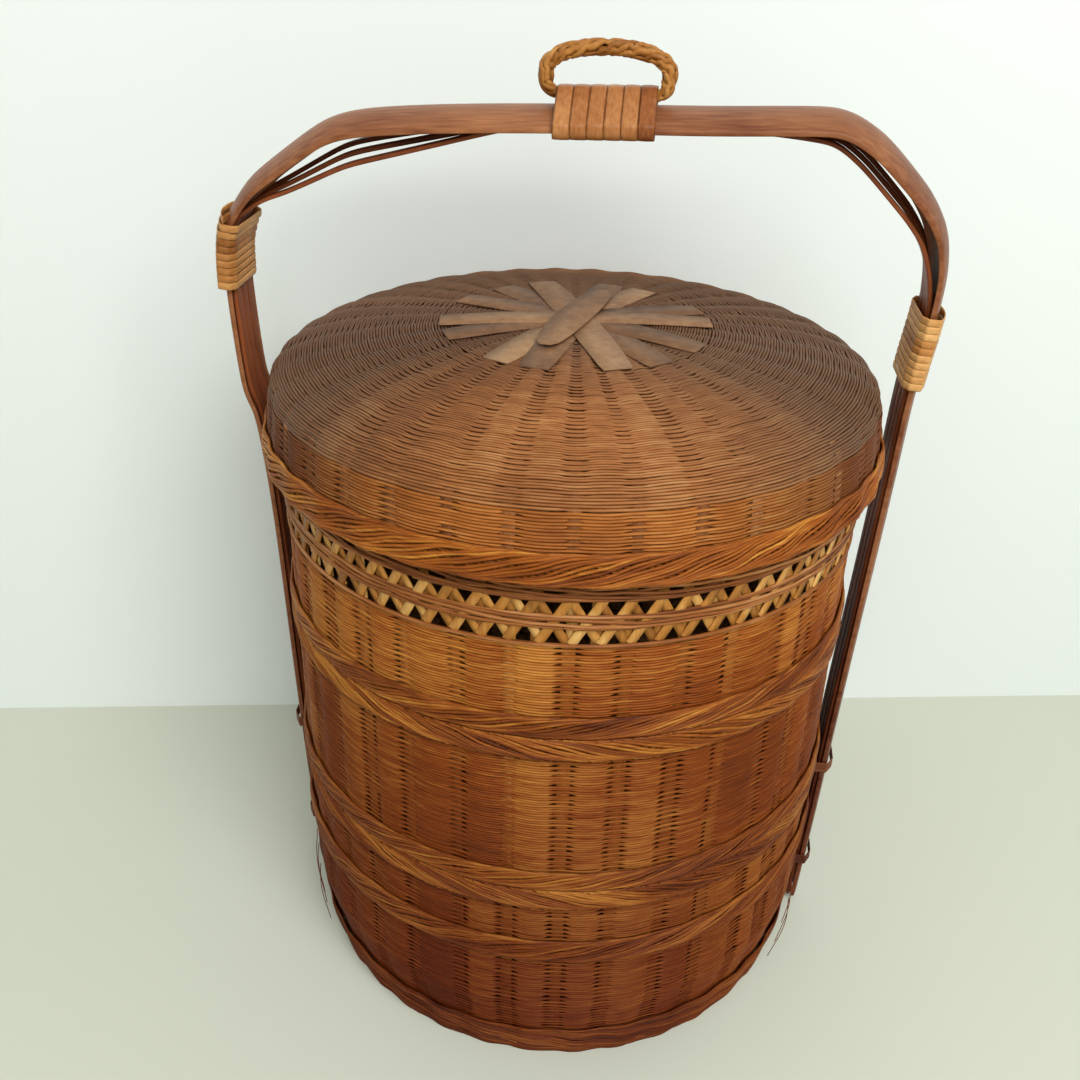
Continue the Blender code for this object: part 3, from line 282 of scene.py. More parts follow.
def stake_tree():
    """Flat stakes that follow a turned outline and stand evenly round it."""
    tree, given = new_tree("stakes", (
        ("Count", "Int"), ("Width", "Float"), ("Thickness", "Float"), ("Inset", "Float"),
        ("Start share", "Float"), ("Full radius", "Float"), ("Material", "Material"),
    ))
    outline = add(tree, "GeometryNodeMeshToCurve", {0: given["Geometry"]})
    tangent = add(tree, "GeometryNodeInputTangent")
    facing = add(tree, "ShaderNodeVectorMath", {0: (0, 1, 0), 1: tangent}, operation="CROSS_PRODUCT")
    inset = add(tree, "ShaderNodeMath", {0: given["Inset"], 1: -1.0}, operation="MULTIPLY")
    shift = add(tree, "ShaderNodeVectorMath", {0: facing, "Scale": inset}, operation="SCALE")
    outline = add(tree, "GeometryNodeSetPosition", {0: outline, "Offset": shift})
    outline = add(tree, "GeometryNodeSetCurveNormal", {0: outline, "Normal": facing}, mode="FREE")
    position = add(tree, "GeometryNodeInputPosition")
    radius = add(tree, "ShaderNodeSeparateXYZ", {0: position})
    narrow = add(tree, "ShaderNodeMath", {0: radius, 1: given["Full radius"]}, operation="DIVIDE", use_clamp=True)
    section = add(tree, "GeometryNodeCurvePrimitiveQuadrilateral",
                  {"Width": given["Thickness"], "Height": given["Width"]}, mode="RECTANGLE")
    stake = add(tree, "GeometryNodeCurveToMesh", {0: outline, 1: section, "Scale": narrow, "Fill Caps": True})
    points = add(tree, "GeometryNodePoints", {"Count": given["Count"]})
    index = add(tree, "GeometryNodeInputIndex")
    step = add(tree, "ShaderNodeMath", {0: index, 1: given["Start share"]}, operation="ADD")
    share = add(tree, "ShaderNodeMath", {0: step, 1: given["Count"]}, operation="DIVIDE")
    angle = add(tree, "ShaderNodeMath", {0: share, 1: math.tau}, operation="MULTIPLY")
    turn = add(tree, "ShaderNodeCombineXYZ", {2: angle})
    stakes = add(tree, "GeometryNodeInstanceOnPoints", {"Points": points, "Instance": stake, "Rotation": turn})
    tone = add(tree, "FunctionNodeRandomValue", {"ID": index}, data_type="FLOAT")
    stakes = add(tree, "GeometryNodeStoreNamedAttribute", {0: stakes, "Name": "tone", "Value": tone},
                 data_type="FLOAT", domain="INSTANCE")
    end_tree(tree, stakes, given["Material"])
    return tree


def strand_tree():
    """Strands that wind round a path with an oval section, as in a twisted border or ring."""
    tree, given = new_tree("wound strands", (
        ("Strands", "Int"), ("Turns", "Float"), ("Half depth", "Float"), ("Half height", "Float"),
        ("Lean", "Float"), ("Width", "Float"), ("Thickness", "Float"), ("Wander", "Float"), ("Seed", "Int"),
        ("Material", "Material"),
    ))
    path = add(tree, "GeometryNodeMeshToCurve", {0: given["Geometry"]})
    along = add(tree, "GeometryNodeSplineParameter")
    path = add(tree, "GeometryNodeStoreNamedAttribute", {0: path, "Name": "along", "Value": along}, data_type="FLOAT")
    copies = add(tree, "GeometryNodeDuplicateElements", {0: path, "Amount": given["Strands"]}, domain="SPLINE")
    number = copies.node.outputs["Duplicate Index"]
    strands = add(tree, "GeometryNodeStoreNamedAttribute", {0: copies, "Name": "strand", "Value": number}, data_type="FLOAT")

    along = add(tree, "GeometryNodeInputNamedAttribute", {"Name": "along"}, data_type="FLOAT")
    strand = add(tree, "GeometryNodeInputNamedAttribute", {"Name": "strand"}, data_type="FLOAT")
    outward = add(tree, "GeometryNodeInputNamedAttribute", {"Name": "outward"}, data_type="FLOAT_VECTOR")
    tangent = add(tree, "GeometryNodeInputTangent")
    upward = add(tree, "ShaderNodeVectorMath", {0: outward, 1: tangent}, operation="CROSS_PRODUCT")
    wound = add(tree, "ShaderNodeMath", {0: along, 1: given["Turns"]}, operation="MULTIPLY")
    offset = add(tree, "ShaderNodeMath", {0: strand, 1: given["Strands"]}, operation="DIVIDE")
    start = add(tree, "ShaderNodeMath", {0: wound, 1: offset}, operation="ADD")
    spin = add(tree, "ShaderNodeMath", {0: along, 1: math.tau}, operation="MULTIPLY")
    across = add(tree, "ShaderNodeMath", {0: spin}, operation="COSINE")
    away = add(tree, "ShaderNodeMath", {0: spin}, operation="SINE")
    level = add(tree, "ShaderNodeMath", {0: strand, 1: given["Seed"]}, operation="ADD")
    level = add(tree, "ShaderNodeMath", {0: level, 1: 5.3}, operation="MULTIPLY")
    where = add(tree, "ShaderNodeCombineXYZ", {0: across, 1: away, 2: level})
    noise = add(tree, "ShaderNodeTexNoise", {"Vector": where, "Scale": 5.0, "Detail": 1.0})
    noise = add(tree, "ShaderNodeMath", {0: noise, 1: 0.5}, operation="SUBTRACT")
    stray = add(tree, "ShaderNodeMath", {0: noise, 1: given["Wander"]}, operation="MULTIPLY")
    phase = add(tree, "ShaderNodeMath", {0: start, 1: stray}, operation="ADD")
    phase = add(tree, "ShaderNodeMath", {0: phase, 1: math.tau}, operation="MULTIPLY")
    out_share = add(tree, "ShaderNodeMath", {0: phase}, operation="COSINE")
    up_share = add(tree, "ShaderNodeMath", {0: phase}, operation="SINE")
    out_by = add(tree, "ShaderNodeMath", {0: out_share, 1: given["Half depth"]}, operation="MULTIPLY")
    up_by = add(tree, "ShaderNodeMath", {0: up_share, 1: given["Half height"]}, operation="MULTIPLY")
    out_by = add(tree, "ShaderNodeMath", {0: up_by, 1: given["Lean"], 2: out_by}, operation="MULTIPLY_ADD")
    out_move = add(tree, "ShaderNodeVectorMath", {0: outward, "Scale": out_by}, operation="SCALE")
    up_move = add(tree, "ShaderNodeVectorMath", {0: upward, "Scale": up_by}, operation="SCALE")
    move = add(tree, "ShaderNodeVectorMath", {0: out_move, 1: up_move}, operation="ADD")
    out_face = add(tree, "ShaderNodeMath", {0: out_share, 1: given["Half height"]}, operation="MULTIPLY")
    up_face = add(tree, "ShaderNodeMath", {0: up_share, 1: given["Half depth"]}, operation="MULTIPLY")
    out_face = add(tree, "ShaderNodeVectorMath", {0: outward, "Scale": out_face}, operation="SCALE")
    up_face = add(tree, "ShaderNodeVectorMath", {0: upward, "Scale": up_face}, operation="SCALE")
    facing = add(tree, "ShaderNodeVectorMath", {0: out_face, 1: up_face}, operation="ADD")
    facing = add(tree, "ShaderNodeVectorMath", {0: facing}, operation="NORMALIZE")
    for name, value in (("move", move), ("facing", facing)):
        strands = add(tree, "GeometryNodeStoreNamedAttribute", {0: strands, "Name": name, "Value": value},
                      data_type="FLOAT_VECTOR")
    move = add(tree, "GeometryNodeInputNamedAttribute", {"Name": "move"}, data_type="FLOAT_VECTOR")
    facing = add(tree, "GeometryNodeInputNamedAttribute", {"Name": "facing"}, data_type="FLOAT_VECTOR")
    strands = add(tree, "GeometryNodeSetPosition", {0: strands, "Offset": move})
    tone = add(tree, "FunctionNodeRandomValue", {"ID": strand, "Seed": given["Seed"]}, data_type="FLOAT")
    strands = add(tree, "GeometryNodeStoreNamedAttribute", {0: strands, "Name": "tone", "Value": tone}, data_type="FLOAT")
    strands = add(tree, "GeometryNodeSetCurveNormal", {0: strands, "Normal": facing}, mode="FREE")
    section = oval_section(tree, given["Width"], given["Thickness"], 4)
    strips = add(tree, "GeometryNodeCurveToMesh", {0: strands, 1: section, "Fill Caps": True})
    end_tree(tree, strips, given["Material"])
    return tree


def tape_tree():
    """Flat or round cane laid along each of the carrier's paths."""
    tree, given = new_tree("cane turns", (
        ("Width", "Float"), ("Thickness", "Float"), ("Seed", "Int"), ("Material", "Material"),
    ))
    path = add(tree, "GeometryNodeMeshToCurve", {0: given["Geometry"]})
    outward = add(tree, "GeometryNodeInputNamedAttribute", {"Name": "outward"}, data_type="FLOAT_VECTOR")
    along = add(tree, "GeometryNodeSplineParameter")
    path = add(tree, "GeometryNodeStoreNamedAttribute", {0: path, "Name": "along", "Value": along}, data_type="FLOAT")
    number = add(tree, "GeometryNodeInputIndex")
    tone = add(tree, "FunctionNodeRandomValue", {"ID": number, "Seed": given["Seed"]}, data_type="FLOAT")
    path = add(tree, "GeometryNodeStoreNamedAttribute", {0: path, "Name": "tone", "Value": tone},
               data_type="FLOAT", domain="CURVE")
    path = add(tree, "GeometryNodeSetCurveNormal", {0: path, "Normal": outward}, mode="FREE")
    section = oval_section(tree, given["Width"], given["Thickness"], 8)
    strips = add(tree, "GeometryNodeCurveToMesh", {0: path, 1: section, "Fill Caps": True})
    end_tree(tree, strips, given["Material"])
    return tree


def openwork_tree():
    """Slanting flat splints, laid out flat and then bent round the collar."""
    tree, given = new_tree("openwork splints", (
        ("Count", "Int"), ("Radius", "Float"), ("Flare", "Float"), ("Bottom", "Float"), ("Height", "Float"),
        ("Slant shares", "Float"), ("Start share", "Float"), ("Width", "Float"), ("Thickness", "Float"),
        ("Inset", "Float"), ("Seed", "Int"), ("Material", "Material"),
    ))
    length = add(tree, "ShaderNodeMath", {0: given["Radius"], 1: math.tau}, operation="MULTIPLY")
    pitch = add(tree, "ShaderNodeMath", {0: length, 1: given["Count"]}, operation="DIVIDE")
    slant = add(tree, "ShaderNodeMath", {0: pitch, 1: given["Slant shares"]}, operation="MULTIPLY")
    half = add(tree, "ShaderNodeMath", {0: slant, 1: 0.5}, operation="MULTIPLY")
    back = add(tree, "ShaderNodeMath", {0: half, 1: -1.0}, operation="MULTIPLY")
    start = add(tree, "ShaderNodeCombineXYZ", {0: back})
    end = add(tree, "ShaderNodeCombineXYZ", {0: half, 2: given["Height"]})
    line = add(tree, "GeometryNodeCurvePrimitiveLine", {"Start": start, "End": end}, mode="POINTS")
    line = add(tree, "GeometryNodeResampleCurve", {0: line, "Count": 7}, mode="COUNT")
    line = add(tree, "GeometryNodeSetCurveNormal", {0: line, "Normal": (0, 1, 0)}, mode="FREE")
    section = add(tree, "GeometryNodeCurvePrimitiveQuadrilateral",
                  {"Width": given["Thickness"], "Height": given["Width"]}, mode="RECTANGLE")
    splint = add(tree, "GeometryNodeCurveToMesh", {0: line, 1: section, "Fill Caps": True})
    index = add(tree, "GeometryNodeInputIndex")
    stray = add(tree, "FunctionNodeRandomValue", {"Min": -0.11, "Max": 0.11, "ID": index, "Seed": given["Seed"]},
                data_type="FLOAT")
    step = add(tree, "ShaderNodeMath", {0: index, 1: given["Start share"]}, operation="ADD")
    step = add(tree, "ShaderNodeMath", {0: step, 1: stray}, operation="ADD")
    reach = add(tree, "ShaderNodeMath", {0: step, 1: pitch}, operation="MULTIPLY")
    place = add(tree, "ShaderNodeCombineXYZ", {0: reach})
    points = add(tree, "GeometryNodePoints", {"Count": given["Count"], "Position": place})
    splints = add(tree, "GeometryNodeInstanceOnPoints", {"Points": points, "Instance": splint})
    tone = add(tree, "FunctionNodeRandomValue", {"ID": index, "Seed": given["Seed"]}, data_type="FLOAT")
    splints = add(tree, "GeometryNodeStoreNamedAttribute", {0: splints, "Name": "tone", "Value": tone},
                  data_type="FLOAT", domain="INSTANCE")
    flat = add(tree, "GeometryNodeRealizeInstances", {0: splints})
    where = add(tree, "ShaderNodeSeparateXYZ", {0: add(tree, "GeometryNodeInputPosition")}).node.outputs
    angle = add(tree, "ShaderNodeMath", {0: where["X"], 1: given["Radius"]}, operation="DIVIDE")
    rise = add(tree, "ShaderNodeMath", {0: where["Z"], 1: given["Height"]}, operation="DIVIDE")
    radius = add(tree, "ShaderNodeMath", {0: rise, 1: given["Flare"], 2: given["Radius"]}, operation="MULTIPLY_ADD")
    radius = add(tree, "ShaderNodeMath", {0: radius, 1: where["Y"]}, operation="ADD")
    radius = add(tree, "ShaderNodeMath", {0: radius, 1: given["Inset"]}, operation="SUBTRACT")
    level = add(tree, "ShaderNodeMath", {0: where["Z"], 1: given["Bottom"]}, operation="ADD")
    spoke = add(tree, "ShaderNodeCombineXYZ", {0: radius, 2: level})
    bent = add(tree, "ShaderNodeVectorRotate", {"Vector": spoke, "Angle": angle}, rotation_type="Z_AXIS")
    round_ = add(tree, "GeometryNodeSetPosition", {0: flat, "Position": bent})
    end_tree(tree, round_, given["Material"])
    return tree


def star_tree():
    """Wide splints that cross at the lid's centre and follow its dome."""
    tree, given = new_tree("star splints", (
        ("Count", "Int"), ("Length", "Float"), ("Width", "Float"), ("Thickness", "Float"), ("Layer", "Float"),
        ("Shoulder level", "Float"), ("Dome height", "Float"), ("Dome radius", "Float"), ("Dome power", "Float"),
        ("Lift", "Float"), ("Turn", "Float"), ("Stray", "Float"), ("End share", "Float"), ("Seed", "Int"),
        ("Material", "Material"),
    ))
    half = add(tree, "ShaderNodeMath", {0: given["Length"], 1: 0.5}, operation="MULTIPLY")
    back = add(tree, "ShaderNodeMath", {0: half, 1: -1.0}, operation="MULTIPLY")
    start = add(tree, "ShaderNodeCombineXYZ", {0: back})
    end = add(tree, "ShaderNodeCombineXYZ", {0: half})
    line = add(tree, "GeometryNodeCurvePrimitiveLine", {"Start": start, "End": end}, mode="POINTS")
    line = add(tree, "GeometryNodeResampleCurve", {0: line, "Count": 25}, mode="COUNT")
    line = add(tree, "GeometryNodeSetCurveNormal", {0: line, "Normal": (0, 0, 1)}, mode="FREE")
    section = add(tree, "GeometryNodeCurvePrimitiveQuadrilateral",
                  {"Width": given["Thickness"], "Height": given["Width"]}, mode="RECTANGLE")
    section = add(tree, "GeometryNodeSubdivideCurve", {0: section, "Cuts": 1})
    along = add(tree, "GeometryNodeSplineParameter")
    middle = add(tree, "ShaderNodeMath", {0: along, 1: math.pi}, operation="MULTIPLY")
    middle = add(tree, "ShaderNodeMath", {0: middle}, operation="SINE")
    middle = add(tree, "ShaderNodeMath", {0: middle, 1: 0.4}, operation="POWER")
    taper = add(tree, "ShaderNodeMapRange", {0: middle, 1: 0.0, 2: 1.0, 3: given["End share"], 4: 1.0})
    splint = add(tree, "GeometryNodeCurveToMesh", {0: line, 1: section, "Scale": taper, "Fill Caps": True})
    index = add(tree, "GeometryNodeInputIndex")
    stray = add(tree, "FunctionNodeRandomValue", {"Min": -1.0, "Max": 1.0, "ID": index, "Seed": given["Seed"]},
                data_type="FLOAT")
    stray = add(tree, "ShaderNodeMath", {0: stray, 1: given["Stray"]}, operation="MULTIPLY")
    step = add(tree, "ShaderNodeMath", {0: index, 1: stray}, operation="ADD")
    share = add(tree, "ShaderNodeMath", {0: step, 1: given["Count"]}, operation="DIVIDE")
    angle = add(tree, "ShaderNodeMath", {0: share, 1: math.pi, 2: given["Turn"]}, operation="MULTIPLY_ADD")
    turn = add(tree, "ShaderNodeCombineXYZ", {2: angle})
    shuffled = add(tree, "FunctionNodeRandomValue", {"ID": index, "Seed": 7}, data_type="FLOAT")
    layers = add(tree, "ShaderNodeMath", {0: given["Count"], 1: given["Layer"]}, operation="MULTIPLY")
    height = add(tree, "ShaderNodeMath", {0: shuffled, 1: layers}, operation="MULTIPLY")
    place = add(tree, "ShaderNodeCombineXYZ", {2: height})
    points = add(tree, "GeometryNodePoints", {"Count": given["Count"], "Position": place})
    splints = add(tree, "GeometryNodeInstanceOnPoints", {"Points": points, "Instance": splint, "Rotation": turn})
    tone = add(tree, "FunctionNodeRandomValue", {"ID": index, "Seed": given["Seed"]}, data_type="FLOAT")
    splints = add(tree, "GeometryNodeStoreNamedAttribute", {0: splints, "Name": "tone", "Value": tone},
                  data_type="FLOAT", domain="INSTANCE")
    splints = add(tree, "GeometryNodeStoreNamedAttribute", {0: splints, "Name": "heading", "Value": angle},
                  data_type="FLOAT", domain="INSTANCE")
    flat = add(tree, "GeometryNodeRealizeInstances", {0: splints})
    position = add(tree, "GeometryNodeInputPosition")
    level_free = add(tree, "ShaderNodeVectorMath", {0: position, 1: (1, 1, 0)}, operation="MULTIPLY")
    reach = add(tree, "ShaderNodeVectorMath", {0: level_free}, operation="LENGTH").node.outputs["Value"]
    share = add(tree, "ShaderNodeMath", {0: reach, 1: given["Dome radius"]}, operation="DIVIDE")
    fall = add(tree, "ShaderNodeMath", {0: share, 1: given["Dome power"]}, operation="POWER")
    left = add(tree, "ShaderNodeMath", {0: 1.0, 1: fall}, operation="SUBTRACT")
    root = add(tree, "ShaderNodeMath", {0: 1.0, 1: given["Dome power"]}, operation="DIVIDE")
    curve = add(tree, "ShaderNodeMath", {0: left, 1: root}, operation="POWER")
    rise = add(tree, "ShaderNodeMath", {0: curve, 1: given["Dome height"], 2: given["Shoulder level"]},
               operation="MULTIPLY_ADD")
    rise = add(tree, "ShaderNodeMath", {0: rise, 1: given["Lift"]}, operation="ADD")
    lifted = add(tree, "ShaderNodeCombineXYZ", {2: rise})
    domed = add(tree, "GeometryNodeSetPosition", {0: flat, "Offset": lifted})
    end_tree(tree, domed, given["Material"])
    return tree


def floor_tree():
    """Flat splints plaited over and under each other, clipped to a round floor."""
    tree, given = new_tree("plaited floor", (
        ("Radius", "Float"), ("Pitch", "Float"), ("Width", "Float"), ("Thickness", "Float"), ("Level", "Float"),
        ("Turn", "Float"), ("Parity", "Int"), ("Seed", "Int"), ("Material", "Material"),
    ))
    across = add(tree, "ShaderNodeMath", {0: given["Radius"], 1: given["Pitch"]}, operation="DIVIDE")
    side = add(tree, "ShaderNodeMath", {0: across}, operation="FLOOR")
    count = add(tree, "ShaderNodeMath", {0: side, 1: 2.0, 2: 1.0}, operation="MULTIPLY_ADD")
    line = add(tree, "GeometryNodeCurvePrimitiveLine", {"Start": (-1, 0, 0), "End": (1, 0, 0)}, mode="POINTS")
    dots = add(tree, "ShaderNodeMath", {0: count, 1: 2.0}, operation="MULTIPLY")
    line = add(tree, "GeometryNodeResampleCurve", {0: line, "Count": dots}, mode="COUNT")
    number = add(tree, "GeometryNodeInputIndex")
    line = add(tree, "GeometryNodeStoreNamedAttribute", {0: line, "Name": "share", "Value":
               add(tree, "ShaderNodeSeparateXYZ", {0: add(tree, "GeometryNodeInputPosition")})}, data_type="FLOAT")
    points = add(tree, "GeometryNodePoints", {"Count": count})
    points = add(tree, "GeometryNodeStoreNamedAttribute", {0: points, "Name": "line", "Value": number}, data_type="FLOAT")
    lines = add(tree, "GeometryNodeInstanceOnPoints", {"Points": points, "Instance": line})
    lines = add(tree, "GeometryNodeRealizeInstances", {0: lines})
    which = add(tree, "GeometryNodeInputNamedAttribute", {"Name": "line"}, data_type="FLOAT")
    share = add(tree, "GeometryNodeInputNamedAttribute", {"Name": "share"}, data_type="FLOAT")
    centred = add(tree, "ShaderNodeMath", {0: which, 1: side}, operation="SUBTRACT")
    beside = add(tree, "ShaderNodeMath", {0: centred, 1: given["Pitch"]}, operation="MULTIPLY")
    reach = add(tree, "ShaderNodeMath", {0: beside, 1: given["Radius"]}, operation="DIVIDE")
    angle = add(tree, "ShaderNodeMath", {0: reach}, operation="ARCSINE")
    chord = add(tree, "ShaderNodeMath", {0: angle}, operation="COSINE")
    chord = add(tree, "ShaderNodeMath", {0: chord, 1: given["Radius"]}, operation="MULTIPLY")
    run = add(tree, "ShaderNodeMath", {0: chord, 1: share}, operation="MULTIPLY")
    cell = add(tree, "ShaderNodeMath", {0: run, 1: given["Pitch"]}, operation="DIVIDE")
    cell = add(tree, "ShaderNodeMath", {0: cell, 1: centred}, operation="ADD")
    cell = add(tree, "ShaderNodeMath", {0: cell, 1: given["Parity"]}, operation="ADD")
    wave = add(tree, "ShaderNodeMath", {0: cell, 1: math.pi}, operation="MULTIPLY")
    wave = add(tree, "ShaderNodeMath", {0: wave}, operation="COSINE")
    rise = add(tree, "ShaderNodeMath", {0: wave, 1: given["Thickness"]}, operation="MULTIPLY")
    rise = add(tree, "ShaderNodeMath", {0: rise, 1: 0.6, 2: given["Level"]}, operation="MULTIPLY_ADD")
    place = add(tree, "ShaderNodeCombineXYZ", {0: run, 1: beside, 2: rise})
    place = add(tree, "ShaderNodeVectorRotate", {"Vector": place, "Angle": given["Turn"]}, rotation_type="Z_AXIS")
    lines = add(tree, "GeometryNodeSetPosition", {0: lines, "Position": place})
    tone = add(tree, "FunctionNodeRandomValue", {"ID": which, "Seed": given["Seed"]}, data_type="FLOAT")
    lines = add(tree, "GeometryNodeStoreNamedAttribute", {0: lines, "Name": "tone", "Value": tone}, data_type="FLOAT")
    lines = add(tree, "GeometryNodeSetCurveNormal", {0: lines, "Normal": (0, 0, 1)}, mode="FREE")
    section = add(tree, "GeometryNodeCurvePrimitiveQuadrilateral",
                  {"Width": given["Thickness"], "Height": given["Width"]}, mode="RECTANGLE")
    strips = add(tree, "GeometryNodeCurveToMesh", {0: lines, 1: section, "Fill Caps": True})
    end_tree(tree, strips, given["Material"])
    return tree


# Materials


def start_material(name, roughness, specular=0.14):
    """A material with its surface shader, its roughness and its specular level."""
    material = bpy.data.materials.new(name)
    material.use_nodes = True
    tree = material.node_tree
    shader = tree.nodes["Principled BSDF"]
    shader.inputs["Roughness"].default_value = roughness
    shader.inputs["Specular IOR Level"].default_value = specular
    return material, tree, shader


def bamboo_skin(name, dark, middle, light, roughness, grain_scale, patch_scale=9.0, bump_depth=0.05 * MM,
                tint_name="tone", shade_and_sheen=None):
    """Split bamboo or cane: each strand has its tone, broken by soft stains, fine long fibres, painted shade and, when
    asked, a painted sheen.
    """
    material, tree, shader = start_material(name, roughness)
    spot = add(tree, "ShaderNodeTexCoord").node.outputs["Object"]
    tone = add(tree, "ShaderNodeAttribute", attribute_name="tone").node.outputs["Fac"]
    patch = add(tree, "ShaderNodeTexNoise", {"Vector": spot, "Scale": patch_scale, "Detail": 3.0})
    grain_spot = add(tree, "ShaderNodeMapping", {"Vector": spot, "Scale": grain_scale})
    grain = add(tree, "ShaderNodeTexNoise", {"Vector": grain_spot, "Scale": 1.0, "Detail": 3.0, "Roughness": 0.6})
    # For the woven walls the tint holds random tone on the raised columns and a faint painted shade in the sunken ones.
    # Elsewhere it reads the tone again.
    tint = add(tree, "ShaderNodeAttribute", attribute_name=tint_name).node.outputs["Fac"]
    mixed = add(tree, "ShaderNodeMath", {0: tint, 1: 0.2, 2: 0.02}, operation="MULTIPLY_ADD")
    mixed = add(tree, "ShaderNodeMath", {0: tone, 1: 0.2, 2: mixed}, operation="MULTIPLY_ADD")
    mixed = add(tree, "ShaderNodeMath", {0: patch, 1: 0.75, 2: mixed}, operation="MULTIPLY_ADD")
    mixed = add(tree, "ShaderNodeMath", {0: grain, 1: 0.55, 2: mixed}, operation="MULTIPLY_ADD")
    mixed = add(tree, "ShaderNodeMath", {0: mixed, 1: 0.38}, operation="SUBTRACT")
    ramp = tree.nodes.new("ShaderNodeValToRGB")
    ramp.color_ramp.elements[0].position = 0.12
    ramp.color_ramp.elements[0].color = linear(dark)
    ramp.color_ramp.elements[1].position = 0.88
    ramp.color_ramp.elements[1].color = linear(light)
    ramp.color_ramp.elements.new(0.5).color = linear(middle)
    tree.links.new(mixed, ramp.inputs[0])
    # Painted shade, darker and redder towards the bottom: strongest at 50 mm and below, gone at 245 mm. Real soft
    # stains join the same mask.
    level = add(tree, "ShaderNodeSeparateXYZ", {0: spot}).node.outputs["Z"]
    shade_and_stain = add(tree, "ShaderNodeMapRange", {0: level, 1: SHADE_FROM, 2: SHADE_UP_TO, 3: 0.79, 4: 0.0})
    stained = add(tree, "ShaderNodeTexNoise", {"Vector": spot, "Scale": 14.0, "Detail": 2.0})
    stained = add(tree, "ShaderNodeMapRange", {0: stained, 1: 0.56, 2: 0.7, 3: 0.0, 4: 0.34})
    shade_and_stain = add(tree, "ShaderNodeMath", {0: shade_and_stain, 1: stained}, operation="MAXIMUM")
    shaded_colour = add(tree, "ShaderNodeMix", {"Factor": shade_and_stain, 6: ramp.outputs[0], 7: linear("#8e4e2e")},
               data_type="RGBA", blend_type="MULTIPLY")
    # Painted light: near the lit spot at the lid's front the colour stays as it is. Further away it is mixed towards a
    # second colour: painted shade on the lid's sides and a painted grey sheen on the dome, weaker at the far back.
    if shade_and_sheen:
        away = add(tree, "ShaderNodeVectorMath", {0: spot, 1: LIT_SPOT}, operation="SUBTRACT")
        away = add(tree, "ShaderNodeVectorMath", {0: away, 1: (0.8, 1.0, 0.0)}, operation="MULTIPLY")
        away = add(tree, "ShaderNodeVectorMath", {0: away}, operation="LENGTH").node.outputs["Value"]
        away = add(tree, "ShaderNodeMath", {0: patch, 1: 0.05, 2: away}, operation="MULTIPLY_ADD")
        shade_and_sheen_share = add(tree, "ShaderNodeMapRange", {0: away, 1: 0.06, 2: 0.13, 3: 0.0, 4: 0.85})
        depth = add(tree, "ShaderNodeSeparateXYZ", {0: spot}).node.outputs["Y"]
        back_fade = add(tree, "ShaderNodeMapRange", {0: depth, 1: 0.08, 2: 0.12, 3: 1.0, 4: 0.35})
        shade_and_sheen_share = add(tree, "ShaderNodeMath", {0: shade_and_sheen_share, 1: back_fade}, operation="MULTIPLY")
        shaded_colour = add(tree, "ShaderNodeMix", {"Factor": shade_and_sheen_share, 6: shaded_colour, 7: linear(shade_and_sheen)}, data_type="RGBA")
    tree.links.new(shaded_colour, shader.inputs["Base Color"])
    bump = add(tree, "ShaderNodeBump", {"Height": grain, "Strength": 0.6, "Distance": bump_depth})
    tree.links.new(bump, shader.inputs["Normal"])
    return material


def plain_backdrop(name, colour):
    """Matt studio paper for the floor and the wall behind."""
    material, _, shader = start_material(name, 0.9, 0.1)
    shader.inputs["Base Color"].default_value = linear(colour)
    return material


def one_sided(name, colour):
    """Matt studio paper that is clear from behind, so that it hides nothing in views from the back."""
    material = plain_backdrop(name, colour)
    tree = material.node_tree
    behind = tree.nodes.new("ShaderNodeNewGeometry").outputs["Backfacing"]
    clear = add(tree, "ShaderNodeBsdfTransparent")
    mixed = add(tree, "ShaderNodeMixShader", {0: behind, 1: tree.nodes["Principled BSDF"].outputs[0], 2: clear})
    tree.links.new(mixed, tree.nodes["Material Output"].inputs["Surface"])
    return material


# Sizes that a user may change


class BasketWeave(bpy.types.PropertyGroup):
    """Sizes of the woven walls."""

    row_pitch: FloatProperty(name="Row pitch", description="Height of one row", default=1.25 * MM, unit="LENGTH")
    weaver_width: FloatProperty(name="Weaver width", description="Width of a weaver", default=1.66 * MM, unit="LENGTH")
    weaver_thickness: FloatProperty(
        name="Weaver thickness", description="Thickness of a weaver", default=0.6 * MM, unit="LENGTH")
    dive: FloatProperty(name="Dive", description="How far a weaver dives behind a stake", default=0.98 * MM, unit="LENGTH")
    swell: FloatProperty(name="Swell", description="How far a column stands out", default=0.65 * MM, unit="LENGTH")
    wander: FloatProperty(name="Wander", description="How far a weaver strays", default=0.62 * MM, unit="LENGTH")
    column_pairs: IntProperty(name="Column pairs", description="Pairs of columns round the basket", default=36, min=3)
    steps: IntProperty(name="Steps", description="Points in a pair of columns", default=9, min=4)
    open_share: FloatProperty(
        name="Open share", description="Share of a pair of columns that is woven open", default=0.4,
        subtype="FACTOR", min=0, max=1)
    stake_width: FloatProperty(name="Stake width", description="Width of a stake", default=5.2 * MM, unit="LENGTH")
    stake_thickness: FloatProperty(
        name="Stake thickness", description="Thickness of a stake", default=0.5 * MM, unit="LENGTH")


class BasketBands(bpy.types.PropertyGroup):
    """Sizes of the wound bands."""

    strand_width: FloatProperty(name="Strand width", description="Width of a strand", default=1.5 * MM, unit="LENGTH")
    strand_thickness: FloatProperty(
        name="Strand thickness", description="Thickness of a strand", default=0.8 * MM, unit="LENGTH")
    turns: IntProperty(name="Turns", description="Turns of a strand round its band", default=9, min=1)
    strand_pitch: FloatProperty(
        name="Strand pitch", description="Space from strand to strand", default=1.15 * MM, unit="LENGTH")


